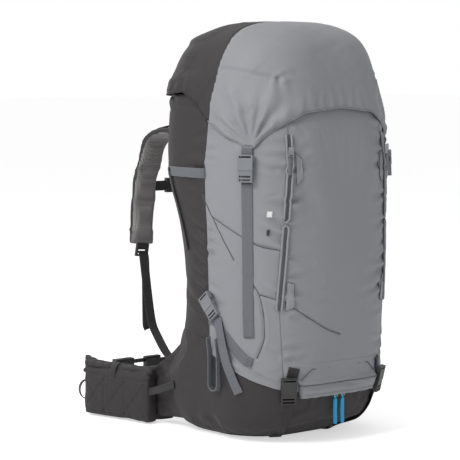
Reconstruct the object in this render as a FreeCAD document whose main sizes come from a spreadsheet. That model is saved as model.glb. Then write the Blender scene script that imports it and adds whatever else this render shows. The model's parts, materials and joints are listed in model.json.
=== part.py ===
"""Hiking backpack: a top-loading trekking pack with a lid, a frame, a harness and a hip belt.

Frame: +Z up, -Y the front face of the pack, +Y the wearer's side, -X the wearer's left.
The origin is on the flat patch of the base that the pack stands on. Millimetres.
"""
import FreeCAD, Part
import Sketcher
import math
import os

Vector = FreeCAD.Vector
Rotation = FreeCAD.Rotation
Placement = FreeCAD.Placement

X_AXIS = Vector(1, 0, 0)
Y_AXIS = Vector(0, 1, 0)
Z_AXIS = Vector(0, 0, 1)
SIDES = (("left", -1), ("right", 1))

SIZES = [
    # the bag and its lid
    ("bag_width", 352, "widest outline of the bag"),
    ("bag_height", 612, "base to the top of the bag's panels"),
    ("front_depth", 169, "origin to the front of the bag"),
    ("back_depth", 160, "origin to the back of the bag"),
    ("lid_height", 128, "top of the bag's panels to the crown of the lid"),
    ("fabric", 3, "fabric, lining and filling of one wall"),
    ("gap", 0.4, "clearance between soft neighbours"),
    ("front_corner", 0.72, "front corner radius, as a share of the outline's half width"),
    ("back_corner", 0.50, "back corner radius, as a share of the outline's half width"),
    # seams of the panels
    ("base_seam_front", 92, "height of the base seam at the front"),
    ("base_seam_back", 190, "height of the base seam behind the side pocket"),
    ("base_seam_reach", 55, "how far behind the origin the base seam stops rising"),
    ("side_seam", 8, "how far behind the origin the grey panels end"),
    ("back_wall_half", 118, "half width of the back wall panel"),
    ("zip_top_half", 110, "half distance between the front zips at their top"),
    ("zip_bottom_half", 124, "half distance between the front zips at the base"),
    ("zip_drop", 88, "top of the front zips below the top of the bag"),
    ("zip_foot", 245, "height of the lower end of the front zips"),
    ("zip_width", 9, "width of a zip's coil and tape"),
    ("zip_rise", 2.2, "how far a zip stands out of the fabric"),
    ("collar_height", 24, "collar above the bag's panels"),
    ("collar_wall", 1.6, "fabric of the collar"),
    ("divider_height", 204, "height of the floor of the main compartment"),
    # lid
    ("lid_tip_drop", 92, "lid tips below the top of the bag"),
    ("lid_front_drop", 24, "front hem of the lid below the top of the bag"),
    ("lid_tip_reach", 100, "lid tips in front of the origin"),
    ("lid_tip_half", 158, "half distance between the two lid tips' inner edges"),
    ("lid_floor_rise", 28, "floor of the lid pocket above the top of the bag"),
    ("lid_seam", 8, "how far in front of the origin the lid's two colours meet"),
    # webbing and buckles
    ("webbing", 1.6, "webbing thickness"),
    ("strap", 20, "width of the narrow webbing"),
    ("belt_strap", 38, "width of the hip webbing"),
    ("buckle_width", 28, "width of a buckle for the narrow webbing"),
    ("buckle_length", 26, "length of its female half"),
    ("buckle_thick", 8.4, "thickness of its female half"),
    ("clip_length", 21, "length of the male half without its prongs"),
    ("clip_thick", 7, "thickness of the male half"),
    ("prong_length", 16, "length of the prongs"),
    ("prong_width", 4.2, "width of one prong"),
    ("prong_thick", 3.8, "thickness of the prongs"),
    ("prong_play", 0.35, "clearance round the prongs"),
    ("slot", 3, "slot that the webbing passes through"),
    ("belt_buckle_scale", 1.7, "hip buckle against a narrow buckle"),
    ("buckle_stand", 2.6, "buckle above the fabric that it lies on"),
    ("lid_buckle_drop", 130, "joint line of the lid buckles below the top of the bag"),
    ("side_strap_drop", 139, "upper side strap below the top of the bag"),
    ("side_buckle_height", 238, "height of the lower side buckle"),
    ("base_strap_half", 105, "half distance between the base straps"),
    ("base_buckle_height", 98, "height of the base buckles"),
    # frame, pads and harness
    ("sheet", 2.4, "frame sheet thickness"),
    ("sheet_half", 104, "half width of the frame sheet"),
    ("stay", 3, "thickness of a stay"),
    ("stay_width", 16, "width of a stay"),
    ("stay_half", 62, "half distance between the stays"),
    ("frame_foot", 60, "height of the lower end of the frame"),
    ("pad", 11, "thickness of the back pads"),
    ("pad_foot", 142, "height of the lower end of the back pads"),
    ("pad_height", 218, "length of the back pads"),
    ("pad_width", 64, "width of a back pad"),
    ("pad_half", 58, "half distance between the back pads"),
    ("lumbar", 15, "thickness of the lumbar pad"),
    ("lumbar_half", 96, "half width of the lumbar pad"),
    ("lumbar_height", 84, "height of the lumbar pad"),
    ("lumbar_foot", 36, "height of the lower edge of the lumbar pad"),
    ("yoke_width", 176, "width of the yoke"),
    ("yoke_foot", 418, "height of the lower edge of the yoke"),
    ("yoke_height", 88, "height of the yoke"),
    ("yoke", 5, "thickness of the yoke"),
    ("yoke_lean", 12.5, "lean of the yoke and of its track, in degrees"),
    ("shoulder", 14, "thickness of a shoulder pad"),
    ("shoulder_width", 56, "width of a shoulder pad"),
    ("shoulder_half", 72, "half distance between the shoulder pads at the yoke"),
    ("shoulder_splay", 4.5, "spread of the shoulder pads, in degrees"),
    ("sternum_height", 430, "height of the sternum strap"),
    # hip belt
    ("wing", 12, "thickness of a hip wing"),
    ("wing_foot", 2, "height of the lower edge of the hip wings"),
    ("wing_height", 104, "height of a hip wing"),
    ("pocket", 27, "thickness of a hip pocket"),
    ("pocket_length", 164, "length of a hip pocket"),
    ("pocket_height", 96, "height of a hip pocket at its rear end"),
    ("pocket_taper", 12, "loss of height of the pocket towards the buckle"),
    ("roll_radius", 7, "radius of the pocket's rolled top"),
    ("belt_buckle_height", 54, "height of the middle of the hip buckle"),
    ("belt_depth", 432, "hip buckle behind the origin"),
    ("belt_open", 28, "gap between the open halves of the hip buckle"),
    # zip sliders
    ("slider_width", 9, "width of a zip slider"),
    ("slider_length", 13, "length of a zip slider"),
    ("slider_thick", 4, "thickness of a zip slider"),
    ("slider_stand", 8.3, "front slider above the fabric, so that it clears the bulge"),
    ("base_slider_stand", 5.6, "base slider above the fabric"),
    ("puller_length", 40, "length of a zip puller"),
    ("puller_width", 8, "width of a zip puller"),
    ("puller_thick", 2.4, "thickness of a zip puller"),
    ("hinge_pin", 1.0, "radius of the pin that the puller swings on"),
    ("pin_play", 0.06, "running clearance round that pin"),
    ("base_puller_length", 46, "length of the base zip's pullers"),
    ("anchor_half", 110, "middle to each lid anchor strap"),
    ("anchor_foot_drop", 62, "lid anchor strap's foot below the top of the bag"),
    ("anchor_top_drop", 14, "lid anchor strap's top below the top of the bag"),
    ("lid_zip_half", 95, "half the length of the lid's pocket zip"),
    ("base_zip_half", 86, "half the length of the base zip"),
    ("flap_half", 81, "half the width of the base flap at its hem"),
    ("flap_spread", 8, "base flap wider at its top, each side"),
    ("flap_drop", 12, "base flap's hem below the base seam"),
    ("flap_rise", 34, "base flap's top above the base seam"),
    ("flap_stand", 9, "flap above the fabric, so that the base sliders run under it"),
]

# Outlines of the filled bag, as shares of its height, half width, front depth and back depth.
BAG_FORM = [
    (0.000, 0.660, 0.343, 0.725),
    (0.049, 0.852, 0.722, 0.912),
    (0.114, 0.915, 0.876, 0.988),
    (0.180, 0.940, 0.940, 1.000),
    (0.270, 0.945, 0.965, 0.815),
    (0.368, 0.955, 0.980, 0.725),
    (0.490, 0.966, 0.995, 0.735),
    (0.654, 0.990, 1.000, 0.850),
    (0.817, 1.000, 0.994, 1.000),
    (0.874, 0.980, 0.965, 1.015),
    (0.931, 0.957, 0.920, 1.020),
    (1.000, 0.910, 0.845, 1.000),
]
# Outlines of the lid, with heights from the top of the bag as shares of the lid's height.
LID_FORM = [
    (-0.758, 1.012, 1.006, 1.037),
    (-0.406, 1.000, 0.964, 1.069),
    (-0.016, 0.972, 0.911, 1.062),
    (0.336, 0.915, 0.846, 0.975),
    (0.648, 0.830, 0.757, 0.840),
    (0.844, 0.690, 0.620, 0.620),
    (0.977, 0.398, 0.355, 0.281),
]

doc = FreeCAD.newDocument("HikingBackpack")
sheet = doc.addObject("Spreadsheet::Sheet", "Dims")
nodes = []


def fill_sheet():
    """Writes every size into the sheet as a plain number with an alias."""
    for row, (alias, value, meaning) in enumerate(SIZES, start=1):
        sheet.set(f"A{row}", meaning)
        sheet.set(f"B{row}", str(value))
        sheet.setAlias(f"B{row}", alias)
    doc.recompute()


def size(alias):
    """The value of one cell of the sheet."""
    return float(getattr(sheet, alias))


def value(expression):
    """The value of an expression in the sheet's sizes."""
    return float(sheet.evalExpression(expression))


def node(thing, label):
    """Makes an object a sub-part: its label names its file."""
    thing.Label = label
    nodes.append(thing)
    return thing


def group(label, things):
    """One sub-part made of separate solids, such as a left and a right strap."""
    members = doc.addObject("Part::Compound", label)
    members.Links = things
    return node(members, label)


# --- solids ---------------------------------------------------------------------------------

def box(name, low, high):
    """A box between two corners, each corner given as three expressions in the sheet's sizes."""
    block = doc.addObject("Part::Box", name)
    for side, axis, start, end in zip(("Length", "Width", "Height"), "xyz", low, high):
        block.setExpression(side, f"({end}) - ({start})")
        block.setExpression(f"Placement.Base.{axis}", start)
    return block


def cut(name, base, tool):
    """base without tool."""
    result = doc.addObject("Part::Cut", name)
    result.Base, result.Tool = base, tool
    return result


def common(name, base, tool):
    """What base and tool share."""
    result = doc.addObject("Part::Common", name)
    result.Base, result.Tool = base, tool
    return result


def prism(name, plane, points, reach):
    """A straight prism through the whole bag. plane is XZ or YZ, points its outline."""
    outline = doc.addObject("Sketcher::SketchObject", name + "_outline")
    turned = {"XZ": Rotation(X_AXIS, 90), "YZ": Rotation(Vector(1, 1, 1), 120)}
    outline.Placement = Placement(Vector(0, 0, 0), turned[plane])
    corners = [Vector(a, b, 0) for a, b in points]
    for start, end in zip(corners, corners[1:] + corners[:1]):
        outline.addGeometry(Part.LineSegment(start, end))
    body = doc.addObject("Part::Extrusion", name)
    body.Base = outline
    body.DirMode = "Normal"
    body.LengthFwd = reach
    body.Symmetric = True
    body.Solid = True
    return body


def outline(name, height, half_width, front, back):
    """One level outline: four straight sides with tangent corners, all sizes as expressions."""
    sketch = doc.addObject("Sketcher::SketchObject", name)
    sketch.setExpression("Placement.Base.z", height)
    wide, fore, aft = value(half_width), value(front), value(back)
    front_radius = f"({half_width}) * Dims.front_corner"
    back_radius = f"({half_width}) * Dims.back_corner"
    r_f, r_b = value(front_radius), value(back_radius)
    corners = [
        (wide - r_f, r_f - fore, r_f, -90), (wide - r_b, aft - r_b, r_b, 0),
        (r_b - wide, aft - r_b, r_b, 90), (r_f - wide, r_f - fore, r_f, 180),
    ]
    sides = [
        (r_f - wide, -fore, wide - r_f, -fore), (wide, r_f - fore, wide, aft - r_b),
        (wide - r_b, aft, r_b - wide, aft), (-wide, aft - r_b, -wide, r_f - fore),
    ]
    for (x1, y1, x2, y2), (x, y, radius, turn) in zip(sides, corners):
        sketch.addGeometry(Part.LineSegment(Vector(x1, y1, 0), Vector(x2, y2, 0)))
        circle = Part.Circle(Vector(x, y, 0), Z_AXIS, radius)
        start = math.radians(turn)
        sketch.addGeometry(Part.ArcOfCircle(circle, start, start + math.pi / 2))
    constrain_outline(sketch)
    for name_, rule in (
        ("right", half_width), ("left", f"-({half_width})"), ("front", f"-({front})"),
        ("back", back), ("front_radius", front_radius), ("back_radius", back_radius),
    ):
        sketch.setExpression(f"Constraints.{name_}", rule)
    return sketch


def constrain_outline(sketch):
    """Ties an outline's lines (even numbers) and corners (odd numbers) together."""
    for piece in range(8):
        sketch.addConstraint(Sketcher.Constraint("Tangent", piece, 2, (piece + 1) % 8, 1))
    for kind, line in (("Horizontal", 0), ("Vertical", 2), ("Horizontal", 4), ("Vertical", 6)):
        sketch.addConstraint(Sketcher.Constraint(kind, line))
    sketch.addConstraint(Sketcher.Constraint("Equal", 1, 7))
    sketch.addConstraint(Sketcher.Constraint("Equal", 3, 5))
    start = {line: sketch.Geometry[line].StartPoint for line in (0, 2, 4, 6)}
    for kind, line, amount, title in (
        ("DistanceX", 2, start[2].x, "right"), ("DistanceX", 6, start[6].x, "left"),
        ("DistanceY", 0, start[0].y, "front"), ("DistanceY", 4, start[4].y, "back"),
    ):
        index = sketch.addConstraint(Sketcher.Constraint(kind, -1, 1, line, 1, amount))
        sketch.renameConstraint(index, title)
    for arc, title in ((1, "front_radius"), (3, "back_radius")):
        radius = sketch.Geometry[arc].Radius
        index = sketch.addConstraint(Sketcher.Constraint("Radius", arc, radius))
        sketch.renameConstraint(index, title)


def loft(name, form, height_of, outset):
    """A smooth solid through the outlines of a form, each moved out by outset."""
    sections = []
    for number, (height, wide, fore, aft) in enumerate(form):
        sections.append(outline(
            f"{name}_{number}",
            height_of(height),
            f"Dims.bag_width / 2 * {wide} + ({outset})",
            f"Dims.front_depth * {fore} + ({outset})",
            f"Dims.back_depth * {aft} + ({outset})",
        ))
    solid = doc.addObject("Part::Loft", name)
    solid.Sections = sections
    solid.Solid = True
    solid.Ruled = False
    return solid


def bag_loft(name, outset):
    """The bag's outer form, moved out by outset."""
    return loft(name, BAG_FORM, lambda share: f"Dims.bag_height * {share}", outset)


def lid_loft(name, outset):
    """The lid's outer form, moved out by outset."""
    rule = "Dims.bag_height + Dims.lid_height * ({0}) {1}"
    sink = f"+ min(0 ; {outset})"
    form = LID_FORM
    top = form[-1][0]
    return loft(name, form, lambda share: rule.format(share, sink if share == top else ""), outset)


def layer(name, inner, outer):
    """The skin between two outsets of the bag's form."""
    return cut(name, bag_loft(name + "_outer", outer), bag_loft(name + "_inner", inner))


# --- finding the bag's surface --------------------------------------------------------------

def skin_point(solid, start, towards):
    """The first point where a line from outside meets a solid."""
    crossing = solid.common(Part.makeLine(start, towards))
    return min((v.Point for v in crossing.Vertexes), key=lambda p: (p - start).Length)


def front_point(x, z):
    """A point on the front of the bag."""
    return skin_point(bag_form.Shape, Vector(x, -900, z), Vector(x, 0, z))


def back_point(x, z):
    """A point on the back of the bag."""
    return skin_point(bag_form.Shape, Vector(x, 900, z), Vector(x, 0, z))


def side_point(side, y, z):
    """A point on the side of the bag."""
    return skin_point(bag_form.Shape, Vector(side * 900, y, z), Vector(0, y, z))


def outward(point):
    """The bag's outward direction at a point of its surface."""
    best = min(bag_form.Shape.Faces, key=lambda face: face.distToShape(Part.Vertex(point))[0])
    return best.normalAt(*best.Surface.parameter(point)).normalize()


def on_skin(point, along, stand):
    """A placement on the bag: local Z points outwards, local Y runs along a direction."""
    normal = outward(point)
    run = (along - normal * along.dot(normal)).normalize()
    across = run.cross(normal)
    turn = Rotation(across, run, normal, "ZYX")
    return Placement(point + normal * stand, turn)


# --- flat pieces: sketches and pads ---------------------------------------------------------

def body_for(name):
    """An empty PartDesign body."""
    return doc.addObject("PartDesign::Body", name)


def sketch_on(body, role, name):
    """A sketch on one of the body's own origin planes."""
    sketch = body.newObject("Sketcher::SketchObject", name)
    plane = next(item for item in body.Origin.OriginFeatures if item.Role == role)
    sketch.AttachmentSupport = [(plane, "")]
    sketch.MapMode = "FlatFace"
    return sketch


def rectangle(sketch, left, bottom, right, top):
    """A rectangle whose four sides are expressions in the sheet's sizes."""
    x1, y1, x2, y2 = value(left), value(bottom), value(right), value(top)
    corners = [Vector(x1, y1, 0), Vector(x2, y1, 0), Vector(x2, y2, 0), Vector(x1, y2, 0)]
    first = len(sketch.Geometry)
    for start, end in zip(corners, corners[1:] + corners[:1]):
        sketch.addGeometry(Part.LineSegment(start, end))
    for number in range(4):
        after = first + (number + 1) % 4
        sketch.addConstraint(Sketcher.Constraint("Coincident", first + number, 2, after, 1))
        kind = "Horizontal" if number % 2 == 0 else "Vertical"
        sketch.addConstraint(Sketcher.Constraint(kind, first + number))
    for kind, line, amount, rule in (
        ("DistanceX", first, x1, left), ("DistanceY", first, y1, bottom),
        ("DistanceX", first + 2, x2, right), ("DistanceY", first + 2, y2, top),
    ):
        index = sketch.addConstraint(Sketcher.Constraint(kind, -1, 1, line, 1, amount))
        title = f"edge_{index}"
        sketch.renameConstraint(index, title)
        sketch.setExpression(f"Constraints.{title}", rule)


def pad(body, sketch, name, length, midplane=True):
    """Pads a sketch by an expression."""
    feature = body.newObject("PartDesign::Pad", name)
    feature.Profile = sketch
    feature.setExpression("Length", length)
    feature.Midplane = midplane
    return feature


def pocket(body, sketch, name, length, midplane=False):
    """Cuts a sketch into the body by an expression."""
    feature = body.newObject("PartDesign::Pocket", name)
    feature.Profile = sketch
    feature.setExpression("Length", length)
    feature.Midplane = midplane
    return feature


def bent_path(points, radii):
    """Straight runs and tangent arcs: a list of (start, end) and (start, middle, end)."""
    path, last = [], points[0]
    for before, corner, after, radius in zip(points, points[1:], points[2:], radii):
        inward, onward = (corner - before).normalize(), (after - corner).normalize()
        turn = inward.getAngle(onward)
        reach = radius * math.tan(turn / 2)
        start, end = corner - inward * reach, corner + onward * reach
        bisector = (onward - inward).normalize()
        centre = corner + bisector * (radius / math.cos(turn / 2))
        path.append((last, start))
        path.append((start, centre - bisector * radius, end))
        last = end
    path.append((last, points[-1]))
    return path


def ribbon_outline(points, radii, thick):
    """The closed outline of a bent strip: its two sides and its two ends."""
    def shifted(amount):
        flat, side = [], []
        for start, end in zip(points, points[1:]):
            run = (end - start).normalize()
            flat.append((start, run, Vector(-run.y, run.x, 0) * amount))
        for number, (start, run, shift) in enumerate(flat):
            if number == 0:
                side.append(start + shift)
                continue
            _, run_before, shift_before = flat[number - 1]
            mitre = (shift + shift_before) / (1 + run.dot(run_before))
            side.append(start + mitre)
        side.append(points[-1] + flat[-1][2])
        turns = [a[1].cross(b[1]).z for a, b in zip(flat, flat[1:])]
        bent = [r - math.copysign(amount, turn) for r, turn in zip(radii, turns)]
        return bent_path(side, bent)
    one, other = shifted(thick / 2), shifted(-thick / 2)
    ends = [(one[-1][-1], other[-1][-1]), (other[0][0], one[0][0])]
    return one + [ends[0]] + other + [ends[1]]


def ribbon(name, points, radii, thick, width, role="XY_Plane"):
    """A strip of even thickness that follows a path in one plane, as wide as an expression."""
    body = body_for(name)
    sketch = sketch_on(body, role, name + "_outline")
    path = [Vector(a, b, 0) for a, b in points]
    for run in ribbon_outline(path, radii, thick):
        if len(run) == 2:
            sketch.addGeometry(Part.LineSegment(*run))
        else:
            sketch.addGeometry(Part.Arc(*run))
    pad(body, sketch, name + "_pad", width)
    return body


# --- buckles --------------------------------------------------------------------------------

def female_half(name, label, place, scale="1"):
    """The socket of a buckle. The clip enters it along +Y; +Z is its outer face."""
    body = body_for(name)
    plate = sketch_on(body, "XY_Plane", name + "_plate")
    half = f"Dims.buckle_width / 2 * {scale}"
    length = f"Dims.buckle_length * {scale}"
    rectangle(plate, f"-{half}", "0.01", half, length)
    slot_half = f"(Dims.buckle_width / 2 - 3) * {scale}"
    rectangle(plate, f"-{slot_half}", f"{length} - (Dims.slot + 2) * {scale}",
              slot_half, f"{length} - 2 * {scale}")
    pad(body, plate, name + "_pad", f"Dims.buckle_thick * {scale}")
    mouth = sketch_on(body, "XZ_Plane", name + "_mouth")
    wide = f"({PRONG_SPREAD} + Dims.prong_play) * {scale}"
    tall = f"(Dims.prong_thick / 2 + Dims.prong_play) * {scale}"
    rectangle(mouth, f"-{wide}", f"-{tall}", wide, tall)
    depth = f"(Dims.prong_length + 2 * Dims.prong_play) * {scale}"
    pocket(body, mouth, name + "_cavity", depth)
    window = sketch_on(body, "YZ_Plane", name + "_window")
    rectangle(window, f"5 * {scale}", f"-{tall} * 0.9", f"13 * {scale}", f"{tall} * 0.9")
    pocket(body, window, name + "_windows", f"Dims.buckle_width * 2 * {scale}", midplane=True)
    body.Placement = place
    return node(body, label) if label else body


PRONG_SPREAD = "(Dims.buckle_width / 2 - 2.6)"


def male_half(name, label, place, scale="1"):
    """The clip of a buckle: a ladder for the webbing and three prongs that point along +Y."""
    body = body_for(name)
    plate = sketch_on(body, "XY_Plane", name + "_plate")
    half = f"(Dims.buckle_width / 2 - 0.6) * {scale}"
    length = f"Dims.clip_length * {scale}"
    rectangle(plate, f"-{half}", f"-{length}", half, "-0.3")
    slot_half = f"(Dims.buckle_width / 2 - 3.4) * {scale}"
    for rung in (0, 1):
        low = f"-{length} + (2.4 + {rung} * (Dims.slot + 3)) * {scale}"
        rectangle(plate, f"-{slot_half}", low, slot_half, f"{low} + Dims.slot * {scale}")
    pad(body, plate, name + "_pad", f"Dims.clip_thick * {scale}")
    prongs = sketch_on(body, "XY_Plane", name + "_prongs")
    tip = f"Dims.prong_length * {scale}"
    spread, width = f"{PRONG_SPREAD} * {scale}", f"Dims.prong_width * {scale}"
    for left, right in (
        (f"-{spread}", f"{width} - {spread}"), (f"-{width} / 2", f"{width} / 2"),
        (f"{spread} - {width}", spread),
    ):
        rectangle(prongs, left, "-1", right, tip)
    pad(body, prongs, name + "_fingers", f"Dims.prong_thick * {scale}")
    body.Placement = place
    return node(body, label)


# --- the bag --------------------------------------------------------------------------------

REACH = 1200

fill_sheet()
bag_form = bag_loft("bag_form", "0")
inside = bag_loft("inside", "-Dims.fabric")
shell = cut("shell", bag_form, inside)
doc.recompute()

TOP = size("bag_height")
BASE_RISE = (size("base_seam_back") - size("base_seam_front")) / (
    size("base_seam_reach") + size("front_depth"))


def seam_height(y):
    """Height of the base seam at a distance behind the origin."""
    return size("base_seam_back") - BASE_RISE * max(size("base_seam_reach") - y, 0)


def zip_half(z):
    """Half distance between the front zips at a height."""
    share = (z - size("zip_foot")) / (TOP - size("zip_drop") - size("zip_foot"))
    return size("zip_bottom_half") + share * (size("zip_top_half") - size("zip_bottom_half"))


def make_panels():
    """Cuts the bag's skin into its sewn panels."""
    bend = size("base_seam_reach")
    below = prism("below_seam", "YZ", [
        (-400, -50), (500, -50), (500, seam_height(500)), (bend, seam_height(bend)),
        (-400, seam_height(-400)),
    ], REACH)
    node(common("base", shell, below), "base_panel")
    upper = cut("upper", shell, below)
    slab = box("ahead", ("-600", "-600", "-10"), ("600", "Dims.side_seam", "900"))
    between = prism("between_zips", "XZ", [
        (-zip_half(0), -10), (zip_half(0), -10), (zip_half(900), 900), (-zip_half(900), 900),
    ], REACH)
    ahead = common("ahead_panels", upper, slab)
    behind = cut("behind_panels", upper, slab)
    node(common("front", ahead, between), "front_panel")
    flanks = cut("flanks", ahead, between)
    middle = box("middle", ("-Dims.back_wall_half", "-600", "-10"),
                 ("Dims.back_wall_half", "600", "900"))
    node(common("back", behind, middle), "back_panel")
    node(flanks, "side_panels")
    node(cut("corners", behind, middle), "rear_gussets")


def make_inside():
    """The floor of the main compartment and the collar that closes over the load."""
    floor = box("floor_slab", ("-600", "-600", "Dims.divider_height"),
                ("600", "600", "Dims.divider_height + Dims.collar_wall"))
    core = bag_loft("floor_core", "-(Dims.fabric + Dims.gap)")
    node(common("floor", core, floor), "compartment_divider")
    rings = []
    for name, inset in (("outer", "Dims.fabric + Dims.gap"),
                        ("inner", "Dims.fabric + Dims.gap + Dims.collar_wall")):
        _, wide, fore, aft = BAG_FORM[-1]
        ring = outline(
            f"collar_{name}_outline", "Dims.bag_height - Dims.collar_height",
            f"Dims.bag_width / 2 * {wide} - ({inset})", f"Dims.front_depth * {fore} - ({inset})",
            f"Dims.back_depth * {aft} - ({inset})")
        tube = doc.addObject("Part::Extrusion", f"collar_{name}")
        tube.Base = ring
        tube.DirMode = "Normal"
        tube.setExpression("LengthFwd", "Dims.collar_height * 2")
        tube.Solid = True
        rings.append(tube)
    node(cut("collar", *rings), "collar")


def make_lid():
    """The lid: a cap whose hem arches up between two tips, with a floor that makes its pocket."""
    lid_outer = lid_loft("lid_outer", "0")
    lid_inner = lid_loft("lid_inner", "-Dims.fabric")
    cap = cut("cap", lid_outer, lid_inner)
    tip_z = TOP - size("lid_tip_drop")
    half, hem = size("lid_tip_half"), TOP - size("lid_front_drop")
    arch = prism("front_hem", "XZ", [
        (-half, 0), (half, 0), (half, tip_z), (half * 0.86, tip_z + 28), (half * 0.70, hem - 18),
        (half * 0.45, hem - 4), (0, hem), (-half * 0.45, hem - 4), (-half * 0.70, hem - 18),
        (-half * 0.86, tip_z + 28), (-half, tip_z),
    ], REACH)
    tip_y = -size("lid_tip_reach")
    side_hem = prism("side_hem", "YZ", [
        (-400, 0), (400, 0), (400, TOP + 3), (67, TOP + 3), (23, TOP - 22), (0, TOP - 43),
        (tip_y + 12, tip_z), (tip_y - 12, tip_z), (tip_y - 60, tip_z + 30), (-400, tip_z + 40),
    ], REACH)
    hemmed = cut("hemmed", cut("arched", cap, arch), side_hem)
    forward = box("lid_forward", ("-600", "-600", "0"), ("600", "-Dims.lid_seam", "1200"))
    node(common("lid_ahead", hemmed, forward), "lid_front")
    node(cut("lid_behind", hemmed, forward), "lid_back")
    plate = box("lid_plate", ("-600", "-600", "Dims.bag_height + Dims.lid_floor_rise"),
                ("600", "600", "Dims.bag_height + Dims.lid_floor_rise + Dims.collar_wall"))
    node(common("lid_bottom", lid_loft("lid_core", "-(Dims.fabric + Dims.gap)"), plate), "lid_floor")
    band = cut("lid_band", lid_loft("lid_zip_outer", "Dims.gap + Dims.zip_rise"),
               lid_loft("lid_zip_inner", "Dims.gap"))
    track = box("lid_track", ("-Dims.lid_zip_half", "0", "Dims.bag_height + Dims.lid_floor_rise + 8"),
                ("Dims.lid_zip_half", "600", "Dims.bag_height + Dims.lid_floor_rise + 8 + Dims.zip_width"))
    node(common("lid_zip", band, track), "lid_pocket_zip")


def make_straps():
    """The webbing that is sewn to the bag."""
    skin = layer("webbing_skin", "Dims.gap", "Dims.gap + Dims.webbing")
    half = "Dims.strap / 2"
    front, upper, lower, base = [], [], [], []
    for side, sign in SIDES:
        joint = TOP - size("lid_buckle_drop")
        face = side_point(sign, -size("lid_tip_reach"), joint)
        band = doc.addObject("Part::Box", f"lid_strap_band_{side}")
        band.setExpression("Length", "Dims.strap")
        band.Width = 80
        band.setExpression("Height", f"{joint} - Dims.clip_length + 6 - Dims.base_seam_back")
        turn = Rotation(Z_AXIS, math.degrees(math.atan2(outward(face).y, outward(face).x)) - 90)
        foot = turn.multVec(Vector(-size("strap") / 2, -40, 0))
        band.Placement = Placement(Vector(face.x, face.y, size("base_seam_back")) + foot, turn)
        front.append(common(f"lid_strap_{side}", skin, band))

        drop = "Dims.bag_height - Dims.side_strap_drop"
        low, high = (("-600", "-100") if sign < 0 else ("100", "600"))
        wrap = box(f"side_wrap_{side}", (low, "Dims.side_seam - 4", f"{drop} - {half}"),
                   (high, "Dims.back_depth - 40", f"{drop} + {half}"))
        upper.append(common(f"side_strap_{side}", skin, wrap))

        foot_z, top_z = seam_height(-60) + 4, size("side_buckle_height")
        lean = prism(f"lower_band_{side}", "YZ", [
            (-112, foot_z), (-92, foot_z - 6), (-4, top_z - 22), (-20, top_z - 8),
        ], REACH)
        side_half = box(f"lower_half_{side}", (low, "-600", "0"), (high, "600", "600"))
        region = common(f"lower_region_{side}", lean, side_half)
        lower.append(common(f"lower_strap_{side}", skin, region))

        x = f"{sign} * Dims.base_strap_half"
        bottom = box(f"base_band_{side}", (f"{x} - {half}", "-600", "1"),
                     (f"{x} + {half}", "0", "Dims.base_buckle_height + 26"))
        base.append(common(f"base_strap_{side}", skin, bottom))
    group("front_straps", front)
    group("upper_side_straps", upper)
    group("lower_side_straps", lower)
    group("base_straps", base)

    inner, outer = "Dims.anchor_half - Dims.strap * 0.6", "Dims.anchor_half + Dims.strap * 0.6"
    low, high = "Dims.bag_height - Dims.anchor_foot_drop", "Dims.bag_height - Dims.anchor_top_drop"
    anchor_left = box("anchor_left", (f"-({outer})", "0", low), (f"-({inner})", "600", high))
    anchor_right = box("anchor_right", (inner, "0", low), (outer, "600", high))
    anchors = doc.addObject("Part::Fuse", "anchors")
    anchors.Base, anchors.Tool = anchor_left, anchor_right
    node(common("lid_anchor", skin, anchors), "lid_anchor_straps")


def make_zips():
    """Zip tracks on the bag's skin, and the flap and pocket that lie over the base zip."""
    skin = layer("zip_skin", "Dims.gap", "Dims.gap + Dims.zip_rise")
    thin = layer("flap_skin", "Dims.flap_stand", "Dims.flap_stand + Dims.webbing")
    low, high = size("zip_foot"), TOP - size("zip_drop")
    half = size("zip_width") / 2
    ahead = box("zip_ahead", ("-600", "-600", "0"), ("600", "0", "900"))
    front_zips = []
    for side, sign in SIDES:
        top_x, foot_x = sign * zip_half(high), sign * zip_half(low)
        line = prism(f"zip_line_{side}", "XZ", [
            (foot_x - half, low), (foot_x + half, low), (top_x + half, high), (top_x - half, high),
        ], REACH)
        region = common(f"zip_region_{side}", line, ahead)
        front_zips.append(common(f"zip_{side}", skin, region))
    group("front_zips", front_zips)
    front = -size("front_depth")
    rise = size("zip_width")
    sweep = prism("base_zip_line", "YZ", [
        (-400, seam_height(-400)), (-40, seam_height(-40)), (-40, seam_height(-40) + rise),
        (-400, seam_height(-400) + rise),
    ], REACH)
    middle = box("base_zip_middle", ("-Dims.base_zip_half", "-600", "0"),
                 ("Dims.base_zip_half", "0", "900"))
    node(common("base_zip", common("base_zip_sweep", skin, sweep), middle), "base_zip")
    half = size("flap_half")
    top_half = half + size("flap_spread")
    hem = seam_height(front) - size("flap_drop")
    top = seam_height(front) + size("flap_rise")
    flap = prism("flap_area", "XZ", [(-half, hem), (half, hem), (top_half, top), (-top_half, top)], REACH)
    node(common("flap", thin, common("flap_region", flap, ahead)), "base_zip_flap")


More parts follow.
